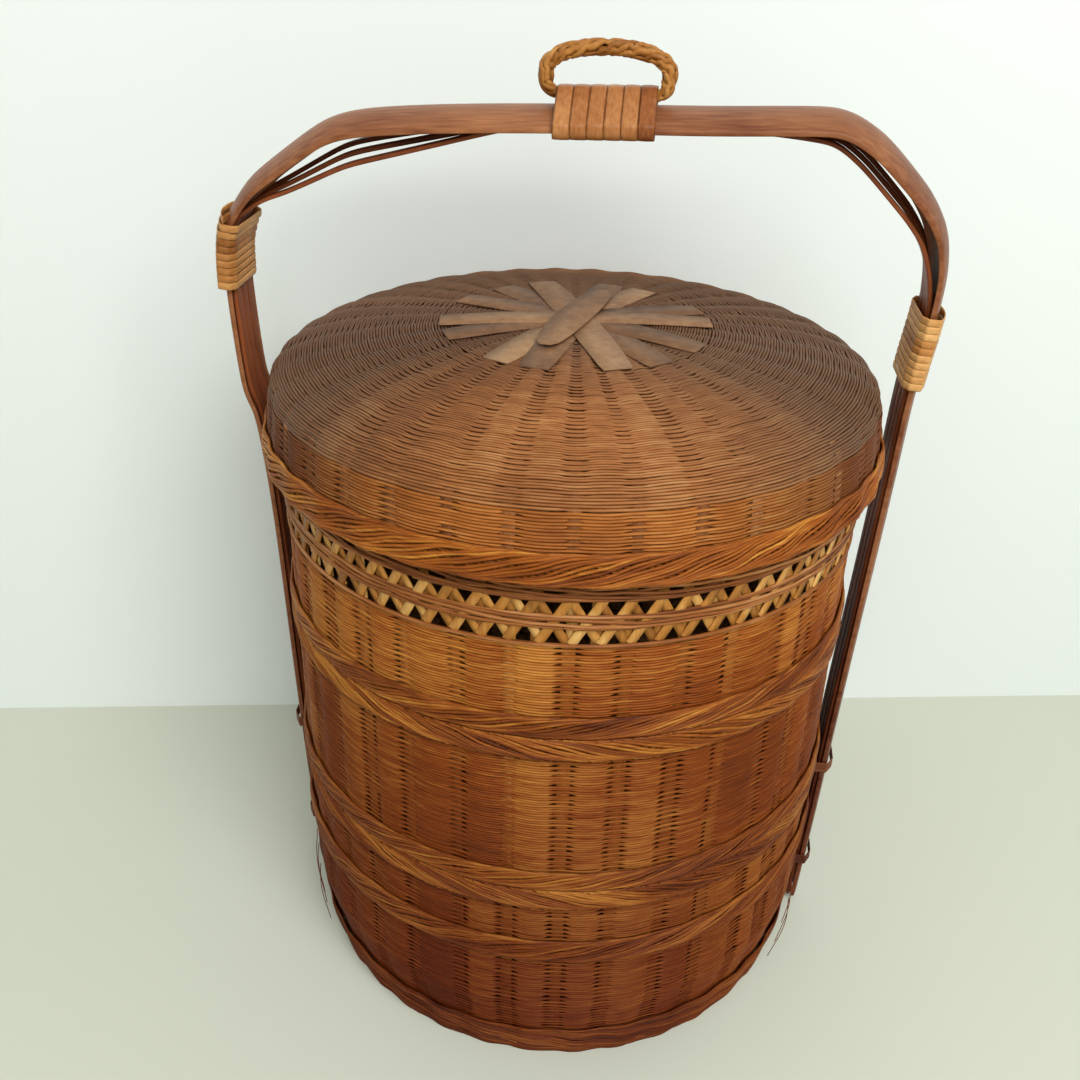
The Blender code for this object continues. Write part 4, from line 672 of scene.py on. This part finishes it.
class BasketLid(bpy.types.PropertyGroup):
    """Sizes of the lid's dome and star."""

    flare: FloatProperty(name="Rim flare", description="How much wider the rim is", default=2.2 * MM, unit="LENGTH")
    dome_height: FloatProperty(name="Dome height", description="Rise of the dome", default=25.0 * MM, unit="LENGTH")
    dome_power: FloatProperty(name="Dome power", description="Fullness of the dome's outline", default=2.2)
    star_splints: IntProperty(name="Star splints", description="Splints that cross at the centre", default=7, min=3)
    star_width: FloatProperty(name="Splint width", description="Width of a star splint", default=15.0 * MM, unit="LENGTH")
    star_length: FloatProperty(
        name="Splint length", description="Length of a star splint", default=118.0 * MM, unit="LENGTH")


# Shared outlines


def ring_points(node):
    """Distinct (radius, level) pairs of a turned CAD node's vertices."""
    pairs = set()
    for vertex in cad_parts[node].data.vertices:
        radius = math.hypot(vertex.co.x, vertex.co.y)
        pairs.add((round(radius / MM, 2), round(vertex.co.z / MM, 2)))
    return sorted(pairs, key=lambda pair: pair[1])


def base_outline():
    """Outer outline of the base wall: tapered at its foot and upright above."""
    pairs = ring_points("base_wall")
    widest = max(radius for radius, _ in pairs)
    foot = max(radius for radius, level in pairs if level <= 0)
    taper_top = min(level for radius, level in pairs if radius >= widest)
    top = max(level for _, level in pairs)
    return [(foot * MM, 0.0), (widest * MM, taper_top * MM), (widest * MM, top * MM)]


def wall_outline(node):
    """Outer outline of a straight wall."""
    low, high = corners(node)
    return [(high.x, low.z), (high.x, high.z)]


def outline_carrier(name, outline, inset=0.0):
    """A carrier with one outline in the XZ plane."""
    return path_mesh(name, [[(radius - inset, 0, level) for radius, level in outline]], False)


def lid_sizes(sizes):
    """Shoulder radius, shoulder level and top level of the lid."""
    low, high = corners("lid_shell")
    return high.x - sizes.flare, high.z - sizes.dome_height, high.z


def dome_outline(sizes, start, end, steps):
    """The dome's outline from one radius in to another."""
    radius, shoulder, _ = lid_sizes(sizes)
    points = []
    for step in range(steps + 1):
        share = (start + (end - start) * step / steps) / radius
        rise = (1 - min(share, 1) ** sizes.dome_power) ** (1 / sizes.dome_power)
        points.append((share * radius, shoulder + sizes.dome_height * rise))
    return points


# Operators: one for each group of pieces


class BASKET_OT_trays(bpy.types.Operator):
    """Weave the walls of the three trays"""

    bl_idname = "basket.trays"
    bl_label = "Weave the trays"

    def execute(self, context):
        sizes = context.scene.basket_weave
        weave = bamboo_skin("woven smoked bamboo", "#4c1c06", "#8c4612", "#ca8a3c", 0.52, (90.0, 90.0, 900.0),
                            tint_name="tint")
        stakes = bamboo_skin("bamboo stake", "#5a2810", "#96561f", "#c08848", 0.6, (600.0, 600.0, 60.0))
        weavers = weaver_tree()
        uprights = stake_tree()
        trays = (
            ("base_wall", base_outline(), "base"),
            ("middle_tray_wall", wall_outline("middle_tray_wall"), "middle_tray"),
            ("upper_tray_wall", wall_outline("upper_tray_wall"), "upper_tray"),
        )
        for seed, (node, outline, body) in enumerate(trays):
            weave_rows(node.replace("wall", "weave"), outline, weavers, weave, sizes, seed, body, (node,))
            stand_stakes(node.replace("wall", "stakes"), outline, uprights, stakes, sizes, body)
        return {"FINISHED"}


def weave_rows(name, outline, tree, material, sizes, seed, body, nodes, steps=None, dive_share=1.0):
    """One wall of woven rows along an outline."""
    half = sizes.weaver_width / 2
    first = Vector((outline[0][0], outline[0][1]))
    last = Vector((outline[-1][0], outline[-1][1]))
    start_way = (Vector(outline[1]) - first).normalized() * half
    end_way = (Vector(outline[-2]) - last).normalized() * half
    trimmed = [tuple(first + start_way)] + list(outline[1:-1]) + [tuple(last + end_way)]
    values = {
        "Row pitch": sizes.row_pitch, "Column pairs": sizes.column_pairs, "Steps": steps or sizes.steps,
        "Width": sizes.weaver_width, "Thickness": sizes.weaver_thickness, 
        "Dive": sizes.dive * dive_share, "Swell": sizes.swell, "Open share": sizes.open_share, "Wander": sizes.wander, "Seed": seed, "Material": material,
    }
    carrier = outline_carrier(name, trimmed, sizes.weaver_thickness / 2)
    return grow(name, carrier, tree, values, body, nodes)


def stand_stakes(name, outline, tree, material, sizes, body):
    """The stakes behind one wall's rows."""
    values = {
        "Count": 2 * sizes.column_pairs, "Width": sizes.stake_width, "Thickness": sizes.stake_thickness,
        "Inset": sizes.weaver_thickness + sizes.swell + sizes.stake_thickness / 2, "Start share": 0.0,
        "Full radius": max(radius for radius, _ in outline), "Material": material,
    }
    return grow(name, outline_carrier(name, outline), tree, values, body, ())


class BASKET_OT_bands(bpy.types.Operator):
    """Wind the bands and the foot border"""

    bl_idname = "basket.bands"
    bl_label = "Wind the bands"

    def execute(self, context):
        sizes = context.scene.basket_bands
        finish = bamboo_skin("wound bamboo band", "#4c1c08", "#945019", "#d4963f", 0.5, (70.0, 70.0, 700.0), 14.0)
        tree = strand_tree()
        rising, falling = 1, -1
        bands = (
            ("base_waist_braid", "base", rising, 0.2 * MM), ("base_rim_braid", "base", falling, 0.2 * MM),
            ("middle_tray_foot_braid", "middle_tray", rising, 0.2 * MM),
            ("middle_tray_rim_braid", "middle_tray", falling, 0.2 * MM),
            ("upper_tray_foot_braid", "upper_tray", rising, 0.2 * MM), ("lid_rim_braid", "lid", rising, 0.5 * MM),
            ("base_foot_border", "base", 0.4 * falling, 0.4 * MM),
        )
        for seed, (node, body, slant, swell) in enumerate(bands):
            wind_band(node, body, tree, finish, sizes, seed, slant, swell)
        hang_loose_strands(finish)
        return {"FINISHED"}


def wind_band(node, body, tree, finish, sizes, seed, slant, swell):
    """One band of strands wound round a wall, in the place of its CAD band."""
    low, high = corners(node)
    pairs = ring_points(node)
    bottom = max(radius for radius, level in pairs if level <= (low.z + high.z) / 2 / MM) * MM
    top = max(radius for radius, level in pairs if level > (low.z + high.z) / 2 / MM) * MM
    height = high.z - low.z
    half_height = (height - sizes.strand_width * 0.75) / 2
    half_depth = 0.7 * MM
    radius = (bottom + top) / 2 - half_depth - sizes.strand_thickness / 2
    strands = round(2 * height / sizes.strand_pitch)
    turns = round(slant * sizes.turns * (9 * MM / height) ** 0.8)
    values = {
        "Strands": strands, "Turns": float(turns), "Half depth": half_depth, "Half height": half_height,
        "Lean": (top - bottom) / height, "Width": sizes.strand_width,
        "Thickness": sizes.strand_thickness, "Wander": 0.1, "Seed": seed, "Material": finish,
    }
    waves = bpy.context.scene.basket_weave.column_pairs
    carrier = ring_path(node, radius, (low.z + high.z) / 2, 288, waves, swell)
    grow(node + "_strands", carrier, tree, values, body, (node,))


def hang_loose_strands(finish):
    """Thin strands that have sprung from the lowest tray, at its left and right."""
    radius = corners("base_wall")[1].x
    strays = (
        (198, 48, 208, 17, 1.7), (199, 40, 206, 20, 1.2), (201, 30, 211, 12, 1.4),
        (-12, 28, -24, 13, 1.3), (-14, 23, -28, 11, 1.7), (-13, 34, -20, 18, 1.0),
    )
    paths = []
    outwards = []
    steps = 14
    for start, top, end, bottom, bow in strays:
        path = []
        ways = []
        for step in range(steps + 1):
            share = step / steps
            turn = math.radians(start + (end - start) * share)
            way = Vector((math.cos(turn), math.sin(turn), 0))
            reach = radius + 0.4 * MM + bow * MM * math.sin(math.pi * share ** 0.8) ** 1.5
            path.append(way * reach + UP * (top + (bottom - top) * share) * MM)
            ways.append(way)
        paths.append(path)
        outwards.append(ways)
    values = {"Width": 0.6 * MM, "Thickness": 0.4 * MM, "Seed": 6, "Material": finish}
    grow("loose_strands", path_mesh("loose_strands", paths, False, outwards), tape_tree(), values, "base", ())


class BASKET_OT_openwork(bpy.types.Operator):
    """Set the crossing splints of the openwork collar"""

    bl_idname = "basket.openwork"
    bl_label = "Set the openwork collar"

    def execute(self, context):
        straw = bamboo_skin("straw bamboo splint", "#70421a", "#b07634", "#dcb26c", 0.5, (500.0, 500.0, 90.0), 40.0)
        brown = bamboo_skin("brown collar strand", "#5c2c12", "#955a2c", "#c89460", 0.45, (80.0, 80.0, 800.0), 14.0)
        low, high = corners("upper_tray_lattice")
        tree = openwork_tree()
        count = 2 * context.scene.basket_weave.column_pairs
        radius = corners("upper_tray_wall")[1].x
        crossing = 20.0 * MM
        common = {
            "Count": count, "Radius": radius, "Flare": 1.2 * MM, "Bottom": low.z + 0.9 * MM, "Height": crossing,
            "Start share": 0.5, "Material": straw,
        }
        parts = (
            ("collar_right_splints", 1.0, 3.7 * MM, 0.7 * MM, 0.6 * MM, 1),
            ("collar_left_splints", -1.0, 3.5 * MM, 0.7 * MM, 1.3 * MM, 2),
        )
        for name, slant, width, thick, inset, seed in parts:
            values = dict(common)
            values.update({"Slant shares": slant, "Width": width, "Thickness": thick, "Inset": inset, "Seed": seed})
            grow(name, path_mesh(name, [[(0, 0, 0), (0, 0, 1)]], False), tree, values, "upper_tray",
                 ("upper_tray_lattice",))
        posts = dict(common)
        posts.update({"Slant shares": 0.0, "Width": 4.4 * MM, "Thickness": 0.6 * MM, "Inset": 1.8 * MM, "Seed": 3,
                      "Start share": 0.0, "Bottom": low.z, "Height": high.z - low.z})
        grow("collar_posts", path_mesh("collar_posts", [[(0, 0, 0), (0, 0, 1)]], False), tree, posts, "upper_tray",
             ())
        strands = strand_tree()
        rows = (
            ("collar_middle_band", low.z + 11.0 * MM, 6.6 * MM, 7, radius + 0.9 * MM),
            ("collar_top_band", high.z - 4.4 * MM, 8.8 * MM, 9, radius + 1.6 * MM),
            ("collar_foot_band", low.z + 0.3 * MM, 1.8 * MM, 3, radius + 0.5 * MM),
        )
        for seed, (name, level, height, amount, reach) in enumerate(rows):
            values = {
                "Strands": amount, "Turns": -2.0, "Half depth": 0.4 * MM, "Half height": height / 2 - 0.6 * MM,
                "Lean": 0.0, "Width": 1.7 * MM, "Thickness": 0.8 * MM, "Wander": 0.2, "Seed": seed + 20,
                "Material": brown,
            }
            grow(name, ring_path(name, reach - 0.6 * MM, level, 300), strands, values, "upper_tray", ())
        return {"FINISHED"}


class BASKET_OT_lid(bpy.types.Operator):
    """Weave the lid and lay its star"""

    bl_idname = "basket.lid"
    bl_label = "Weave the lid"

    def execute(self, context):
        lid = context.scene.basket_lid
        sizes = context.scene.basket_weave
        # The lid's sides take dark red-brown painted shade away from their lit front.
        weave = bamboo_skin("woven lid bamboo", "#5e2a10", "#a4622a", "#d49c5a", 0.52, (90.0, 90.0, 900.0),
                            tint_name="tint", shade_and_sheen="#54230c")
        # The dome: a greyer copy of the lid's weave, a painted reflection of the sky, mixed further towards a painted
        # grey sheen away from the lit front.
        top_weave = bamboo_skin("woven dome bamboo", "#5a3218", "#986034", "#c4925e", 0.52, (90.0, 90.0, 900.0),
                                tint_name="tint", shade_and_sheen="#5e4535")
        dark = bamboo_skin("lid stake", "#4c2410", "#86522c", "#ae7e54", 0.6, (400.0, 400.0, 90.0))
        star = bamboo_skin("wide star splint", "#503626", "#836044", "#aa8763", 0.55, (200.0, 200.0, 200.0), 16.0)
        weavers = weaver_tree()
        uprights = stake_tree()
        radius, shoulder, top = lid_sizes(lid)
        rim = corners("lid_shell")[1].x
        low = corners("lid_shell")[0].z
        side = [(rim, low), (radius, shoulder)]
        weave_rows("lid_side_weave", side, weavers, weave, sizes, 11, "lid", ("lid_shell",))
        star_radius = lid.star_length / 2
        dome = dome_outline(lid, radius, star_radius, 40)
        weave_rows("lid_dome_weave", dome, weavers, top_weave, sizes, 12, "lid", (), dive_share=0.6)
        crown = dome_outline(lid, star_radius, 22 * MM, 12)
        weave_rows("lid_crown_weave", crown, weavers, top_weave, sizes, 13, "lid", (), 6, 0.6)
        stand_stakes("lid_stakes", side + dome[1:] + crown[1:], uprights, dark, sizes, "lid")
        # A dark sheet inside the lid: painted shade that keeps the gaps in the weave dark.
        shade_lining("lid_shade_lining", side + dome[1:] + crown[1:], 1.9 * MM, dark, "lid")
        values = {
            "Count": lid.star_splints, "Length": lid.star_length, "Width": lid.star_width, "Thickness": 0.5 * MM,
            "Layer": 0.1 * MM, "Shoulder level": shoulder, "Dome height": lid.dome_height, "Dome radius": radius,
            "Dome power": lid.dome_power, "Lift": 0.2 * MM, "Turn": 0.1, "Stray": 0.26,
            "End share": 0.8, "Seed": 4, "Material": star,
        }
        grow("lid_star", path_mesh("lid_star", [[(0, 0, 0), (0, 0, 1)]], False), star_tree(), values, "lid",
             ("lid_star_splints",))
        tie = dict(values)
        low, high = corners("lid_tie_splint")
        tie.update({"Count": 1, "Length": 80 * MM, "Width": 16 * MM, "Turn": math.radians(76), "Stray": 0.0,
                    "End share": 0.3, "Lift": 2.2 * MM, "Seed": 5})
        grow("lid_tie", path_mesh("lid_tie", [[(0, 0, 0), (0, 0, 1)]], False), star_tree(), tie, "lid",
             ("lid_tie_splint",))
        return {"FINISHED"}


def shade_lining(name, outline, depth, material, body):
    """A plain dark sheet inside a woven wall, painted shade that lets no light through the gaps between its rows."""
    steps = 72
    points = []
    faces = []
    for radius, level in outline:
        for step in range(steps):
            turn = math.tau * step / steps
            points.append(((radius - depth) * math.cos(turn), (radius - depth) * math.sin(turn), level - depth))
    for row in range(len(outline) - 1):
        for step in range(steps):
            following = (step + 1) % steps
            low, high = row * steps, (row + 1) * steps
            faces.append((low + step, low + following, high + following, high + step))
    mesh = bpy.data.meshes.new(name)
    mesh.from_pydata(points, [], faces)
    mesh.materials.append(material)
    mesh.shade_smooth()
    piece = bpy.data.objects.new(name, mesh)
    bpy.context.collection.objects.link(piece)
    seat(piece, body, ())


class BASKET_OT_handle(bpy.types.Operator):
    """Shape the handle's strap and splints"""

    bl_idname = "basket.handle"
    bl_label = "Shape the handle"

    def execute(self, context):
        strap = bamboo_skin("smoked bamboo strap", "#62301a", "#a06a44", "#c29a78", 0.38, (60.0, 900.0, 300.0), 12.0)
        splint = bamboo_skin("brown bamboo splint", "#5a2a16", "#9c5630", "#c48a5a", 0.42, (60.0, 900.0, 60.0), 10.0)
        refine("handle_strap", strap, 0.7 * MM)
        for place in ("front", "middle", "back"):
            refine("handle_splint_" + place, splint, 0.6 * MM)
        return {"FINISHED"}


def refine(node, material, bevel):
    """A rounded copy of a CAD node with its finish."""
    mesh = merged_copy(node + "_shaped", node)
    mesh.materials.append(material)
    piece = bpy.data.objects.new(node + "_shaped", mesh)
    bpy.context.collection.objects.link(piece)
    edge = piece.modifiers.new("rounded edges", "BEVEL")
    edge.width = bevel
    edge.segments = 2
    edge.limit_method = "ANGLE"
    edge.angle_limit = math.radians(50)
    bend = piece.modifiers.new("smooth bends", "SUBSURF")
    bend.levels = 2
    bend.render_levels = 2
    mesh.shade_smooth()
    seat(piece, "base", (node,))
    return piece


class BASKET_OT_bindings(bpy.types.Operator):
    """Wind the cane bindings, the centre wrap and the lashings"""

    bl_idname = "basket.bindings"
    bl_label = "Wind the bindings"

    def execute(self, context):
        cane = bamboo_skin("tan cane", "#80481e", "#b87f44", "#dcae70", 0.45, (300.0, 300.0, 900.0), 40.0)
        strips = bamboo_skin("brown cane strip", "#582a14", "#8c522a", "#b47c4a", 0.36, (900.0, 300.0, 300.0), 40.0)
        dark = bamboo_skin("dark cane", "#4a2412", "#7a4526", "#9c6840", 0.45, (300.0, 300.0, 900.0), 40.0)
        tree = tape_tree()
        for node in ("left_leg_binding", "right_leg_binding"):
            wind_turns(node, tree, cane, 10, sleeve_axis(node), 0.9 * MM)
        for node in ("left_lower_lashing", "left_upper_lashing", "right_lower_lashing", "right_upper_lashing"):
            wind_turns(node, tree, dark, 3, UP, 0.7 * MM, 1.1 * MM)
        wind_turns("centre_wrap", tree, strips, 6, Vector((1, 0, 0)), 0.8 * MM)
        return {"FINISHED"}


def sleeve_axis(node):
    """The way a sleeve on a leg runs, from its lower to its upper half."""
    low, high = corners(node)
    halves = [[], []]
    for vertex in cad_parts[node].data.vertices:
        halves[vertex.co.z > (low.z + high.z) / 2].append(vertex.co)
    lower, upper = [sum(half, Vector()) / len(half) for half in halves]
    return (upper - lower).normalized()


def wind_turns(node, tree, finish, count, axis, thickness, inset=0.0):
    """Turns of flat cane in the place of a CAD sleeve."""
    places = [vertex.co.dot(axis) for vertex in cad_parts[node].data.vertices]
    start = min(places)
    pitch = (max(places) - start) / count
    loops = []
    outwards = []
    for index in range(count):
        loop = outer_loop(node, axis * (start + pitch * (index + 0.5)), axis)
        middle = sum(loop, Vector()) / len(loop)
        ways = [(point - middle).normalized() for point in loop]
        loops.append([point - way * inset for point, way in zip(loop, ways)])
        outwards.append(ways)
    values = {"Width": pitch * 1.04, "Thickness": thickness, "Seed": 3, "Material": finish}
    grow(node + "_turns", path_mesh(node, loops, True, outwards), tree, values, "base", (node,))


def outer_loop(node, centre, axis):
    """Points of a CAD sleeve's outer outline in one cutting plane, in order."""
    shape = bmesh.new()
    shape.from_mesh(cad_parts[node].data)
    cut = bmesh.ops.bisect_plane(
        shape, geom=shape.verts[:] + shape.edges[:] + shape.faces[:], plane_co=centre, plane_no=axis,
    )["geom_cut"]
    side = axis.orthogonal().normalized()
    upright = axis.cross(side)
    points = [item.co for item in cut if isinstance(item, bmesh.types.BMVert)]
    flat = sorted({(round(point.dot(side), 6), round(point.dot(upright), 6)) for point in points})
    shape.free()
    outline = half_hull(flat) + half_hull(flat[::-1])
    height = centre.dot(axis)
    return resampled([side * along + upright * up + axis * height for along, up in outline], 72)


def half_hull(points):
    """One side of the outline round sorted flat points, without its last point."""
    chain = []
    for point in points:
        while len(chain) > 1:
            first = Vector(chain[-1]) - Vector(chain[-2])
            second = Vector(point) - Vector(chain[-1])
            if first.x * second.y - first.y * second.x > 0:
                break
            chain.pop()
        chain.append(point)
    return chain[:-1]


def resampled(loop, count):
    """Even points along a closed loop."""
    closed = loop + [loop[0]]
    lengths = [(b - a).length for a, b in zip(closed, closed[1:])]
    total = sum(lengths)
    points = []
    reached = 0.0
    span = 0
    for index in range(count):
        target = total * index / count
        while reached + lengths[span] < target:
            reached += lengths[span]
            span += 1
        share = (target - reached) / lengths[span] if lengths[span] else 0
        points.append(closed[span].lerp(closed[span + 1], share))
    return points


class BASKET_OT_ring(bpy.types.Operator):
    """Twist the carrying ring"""

    bl_idname = "basket.ring"
    bl_label = "Twist the ring"

    def execute(self, context):
        cane = bamboo_skin("golden cane", "#683612", "#a26a30", "#d09c58", 0.42, (200.0, 900.0, 200.0), 30.0)
        low, high = corners("carrying_ring")
        thick = high.y - low.y
        top = high.z - thick * 0.42
        bottom = low.z + 1.6 * MM
        centre = Vector(((low.x + high.x) / 2, (low.y + high.y) / 2, (top + bottom) / 2))
        half_width = (high.x - low.x) / 2 - thick / 2
        half_height = (top - bottom) / 2
        points = []
        outwards = []
        count = 160
        for index in range(count):
            turn = math.tau * index / count
            power = 2.2 if math.sin(turn) >= 0 else 4.0
            x = half_width * math.copysign(abs(math.cos(turn)) ** (2 / power), math.cos(turn))
            z = half_height * math.copysign(abs(math.sin(turn)) ** (2 / power), math.sin(turn))
            points.append(centre + Vector((x, 0, z)))
        for before, point, after in zip(points[-1:] + points[:-1], points, points[1:] + points[:1]):
            ahead = (after - before).normalized()
            fall = max(centre.z - point.z, 0) / half_height
            outwards.append(Vector((ahead.z, 0, -ahead.x)) * (1 - 0.62 * fall ** 2))
        values = {
            "Strands": 6, "Turns": 3.0, "Half depth": thick * 0.27, "Half height": thick * 0.29, "Lean": 0.0,
            "Width": thick * 0.36, "Thickness": thick * 0.22, "Wander": 0.4, "Seed": 2, "Material": cane,
        }
        grow("ring_twist", path_mesh("ring", [points], True, [outwards]), strand_tree(), values, "ring",
             ("carrying_ring",))
        return {"FINISHED"}


class BASKET_OT_floors(bpy.types.Operator):
    """Plait the floors and finish the hidden hoops"""

    bl_idname = "basket.floors"
    bl_label = "Plait the floors"

    def execute(self, context):
        splint = bamboo_skin("floor splint", "#5a3018", "#94643c", "#c09468", 0.55, (120.0, 120.0, 120.0), 20.0)
        hoop = bamboo_skin("bamboo hoop", "#4a200e", "#7c4a28", "#aa7a50", 0.45, (80.0, 80.0, 800.0), 12.0)
        tree = floor_tree()
        for seed, (node, body) in enumerate((("base_floor", "base"), ("middle_tray_floor", "middle_tray"),
                                             ("upper_tray_floor", "upper_tray"))):
            low, high = corners(node)
            for turn, parity, name in ((0.0, 0, "_warp"), (math.pi / 2, 1, "_weft")):
                values = {
                    "Radius": high.x, "Pitch": 8 * MM, "Width": 7.4 * MM, "Thickness": 0.7 * MM,
                    "Level": (low.z + high.z) / 2, "Turn": turn, "Parity": parity, "Seed": seed, "Material": splint,
                }
                nodes = (node,)
                grow(node + name, path_mesh(name, [[(0, 0, 0), (0, 0, 1)]], False), tree, values, body, nodes)
        for node in ("middle_tray_spigot", "upper_tray_spigot", "upper_tray_mouth_hoop", "lid_inner_hoop",
                     "base_batten_upper", "base_batten_lower"):
            repaint(node, hoop)
        return {"FINISHED"}


def repaint(node, material):
    """Give a CAD node that stays in sight its finish."""
    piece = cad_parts[node]
    for slot in piece.material_slots:
        slot.material = material


class BASKET_OT_stage(bpy.types.Operator):
    """Set the floor, the lights and the camera"""

    bl_idname = "basket.stage"
    bl_label = "Set the stage"

    def execute(self, context):
        reach = 3.0
        self.lay_sheet("studio_floor", [(-reach, -reach, 0), (reach, -reach, 0), (reach, reach, 0), (-reach, reach, 0)],
                       plain_backdrop("pale floor", "#cacdbe"))
        left, right = Vector((-0.3804, 0.0913, 0)), Vector((0.3477, 0.2091, 0))
        along = (right - left).normalized() * reach
        self.lay_sheet("studio_wall", [left - along, right + along, right + along + UP * reach, left - along + UP * reach],
                       one_sided("pale wall", "#e5ebe8"))
        self.light_world(context.scene)
        self.hang_lamps()
        self.place_camera(context.scene)
        context.scene.view_settings.view_transform = "Standard"
        return {"FINISHED"}

    def lay_sheet(self, name, points, material):
        """One flat sheet of the stage."""
        mesh = bpy.data.meshes.new(name)
        mesh.from_pydata(points, [], [(0, 1, 2, 3)])
        mesh.materials.append(material)
        sheet = bpy.data.objects.new(name, mesh)
        bpy.context.collection.objects.link(sheet)

    def light_world(self, scene):
        """A pale studio all round, seen as near white behind the basket."""
        world = bpy.data.worlds.new("pale studio")
        world.use_nodes = True
        scene.world = world
        tree = world.node_tree
        ground = tree.nodes["Background"]
        ground.inputs["Color"].default_value = linear("#eef0ea")
        ground.inputs["Strength"].default_value = 0.43
        seen = add(tree, "ShaderNodeBackground", {"Color": linear("#f1f6f0"), "Strength": 1.0})
        path = tree.nodes.new("ShaderNodeLightPath")
        straight = add(tree, "ShaderNodeMath", {0: path.outputs["Is Camera Ray"], 1: path.outputs["Is Glossy Ray"]},
                       operation="MAXIMUM")
        straight = add(tree, "ShaderNodeMath", {0: straight, 1: path.outputs["Is Transmission Ray"]}, operation="MAXIMUM")
        mixed = add(tree, "ShaderNodeMixShader", {0: straight, 1: ground.outputs[0], 2: seen})
        tree.links.new(mixed, tree.nodes["World Output"].inputs["Surface"])

    def hang_lamps(self):
        """A large soft key above and in front, and a weaker fill on the left."""
        for name, place, size, power in (
            ("key lamp", (0.5, -1.15, 1.38), 1.1, 31.0), ("fill lamp", (-1.4, -0.6, 0.9), 1.4, 1.5),
        ):
            lamp = bpy.data.lights.new(name, "AREA")
            lamp.size = size
            lamp.energy = power
            holder = bpy.data.objects.new(name, lamp)
            holder.location = place
            aim = Vector((0, 0, 0.2)) - Vector(place)
            holder.rotation_euler = aim.to_track_quat("-Z", "Y").to_euler()
            bpy.context.collection.objects.link(holder)

    def place_camera(self, scene):
        """The photograph's view: from the front, a little to the right, looking down."""
        lens = bpy.data.cameras.new("view")
        lens.sensor_width = 36.0
        lens.lens = 38.67
        lens.clip_start = 0.01
        camera = bpy.data.objects.new("view", lens)
        turn = (Matrix.Rotation(math.radians(5.7), 4, "Z") @ Matrix.Rotation(math.radians(90 - 29.19), 4, "X")
                @ Matrix.Rotation(math.radians(1.44), 4, "Z"))
        camera.matrix_world = Matrix.Translation((0.0351, -0.4849, 0.4816)) @ turn
        bpy.context.collection.objects.link(camera)
        scene.camera = camera


class BASKET_PT_panel(bpy.types.Panel):
    """The basket's pieces and sizes in the sidebar"""

    bl_idname = "BASKET_PT_panel"
    bl_label = "Bamboo basket"
    bl_space_type = "VIEW_3D"
    bl_region_type = "UI"
    bl_category = "Basket"

    def draw(self, context):
        for operator in OPERATORS:
            self.layout.operator(operator.bl_idname)
        for group in ("basket_weave", "basket_bands", "basket_lid"):
            settings = getattr(context.scene, group)
            for name in settings.__annotations__:
                self.layout.prop(settings, name)


OPERATORS = (
    BASKET_OT_stage, BASKET_OT_trays, BASKET_OT_bands, BASKET_OT_openwork, BASKET_OT_lid, BASKET_OT_handle,
    BASKET_OT_bindings, BASKET_OT_ring, BASKET_OT_floors,
)
GROUPS = (BasketWeave, BasketBands, BasketLid)


def register():
    """Register the classes and the settings on the scene."""
    for kind in GROUPS + OPERATORS + (BASKET_PT_panel,):
        bpy.utils.register_class(kind)
    bpy.types.Scene.basket_weave = PointerProperty(type=BasketWeave)
    bpy.types.Scene.basket_bands = PointerProperty(type=BasketBands)
    bpy.types.Scene.basket_lid = PointerProperty(type=BasketLid)


def unregister():
    """Take the settings and the classes away again."""
    del bpy.types.Scene.basket_lid
    del bpy.types.Scene.basket_bands
    del bpy.types.Scene.basket_weave
    for kind in reversed(GROUPS + OPERATORS + (BASKET_PT_panel,)):
        bpy.utils.unregister_class(kind)


def main():
    """Build the whole basket."""
    register()
    for operator in OPERATORS:
        family, name = operator.bl_idname.split(".")
        getattr(getattr(bpy.ops, family), name)()


if __name__ == "__main__":
    main()
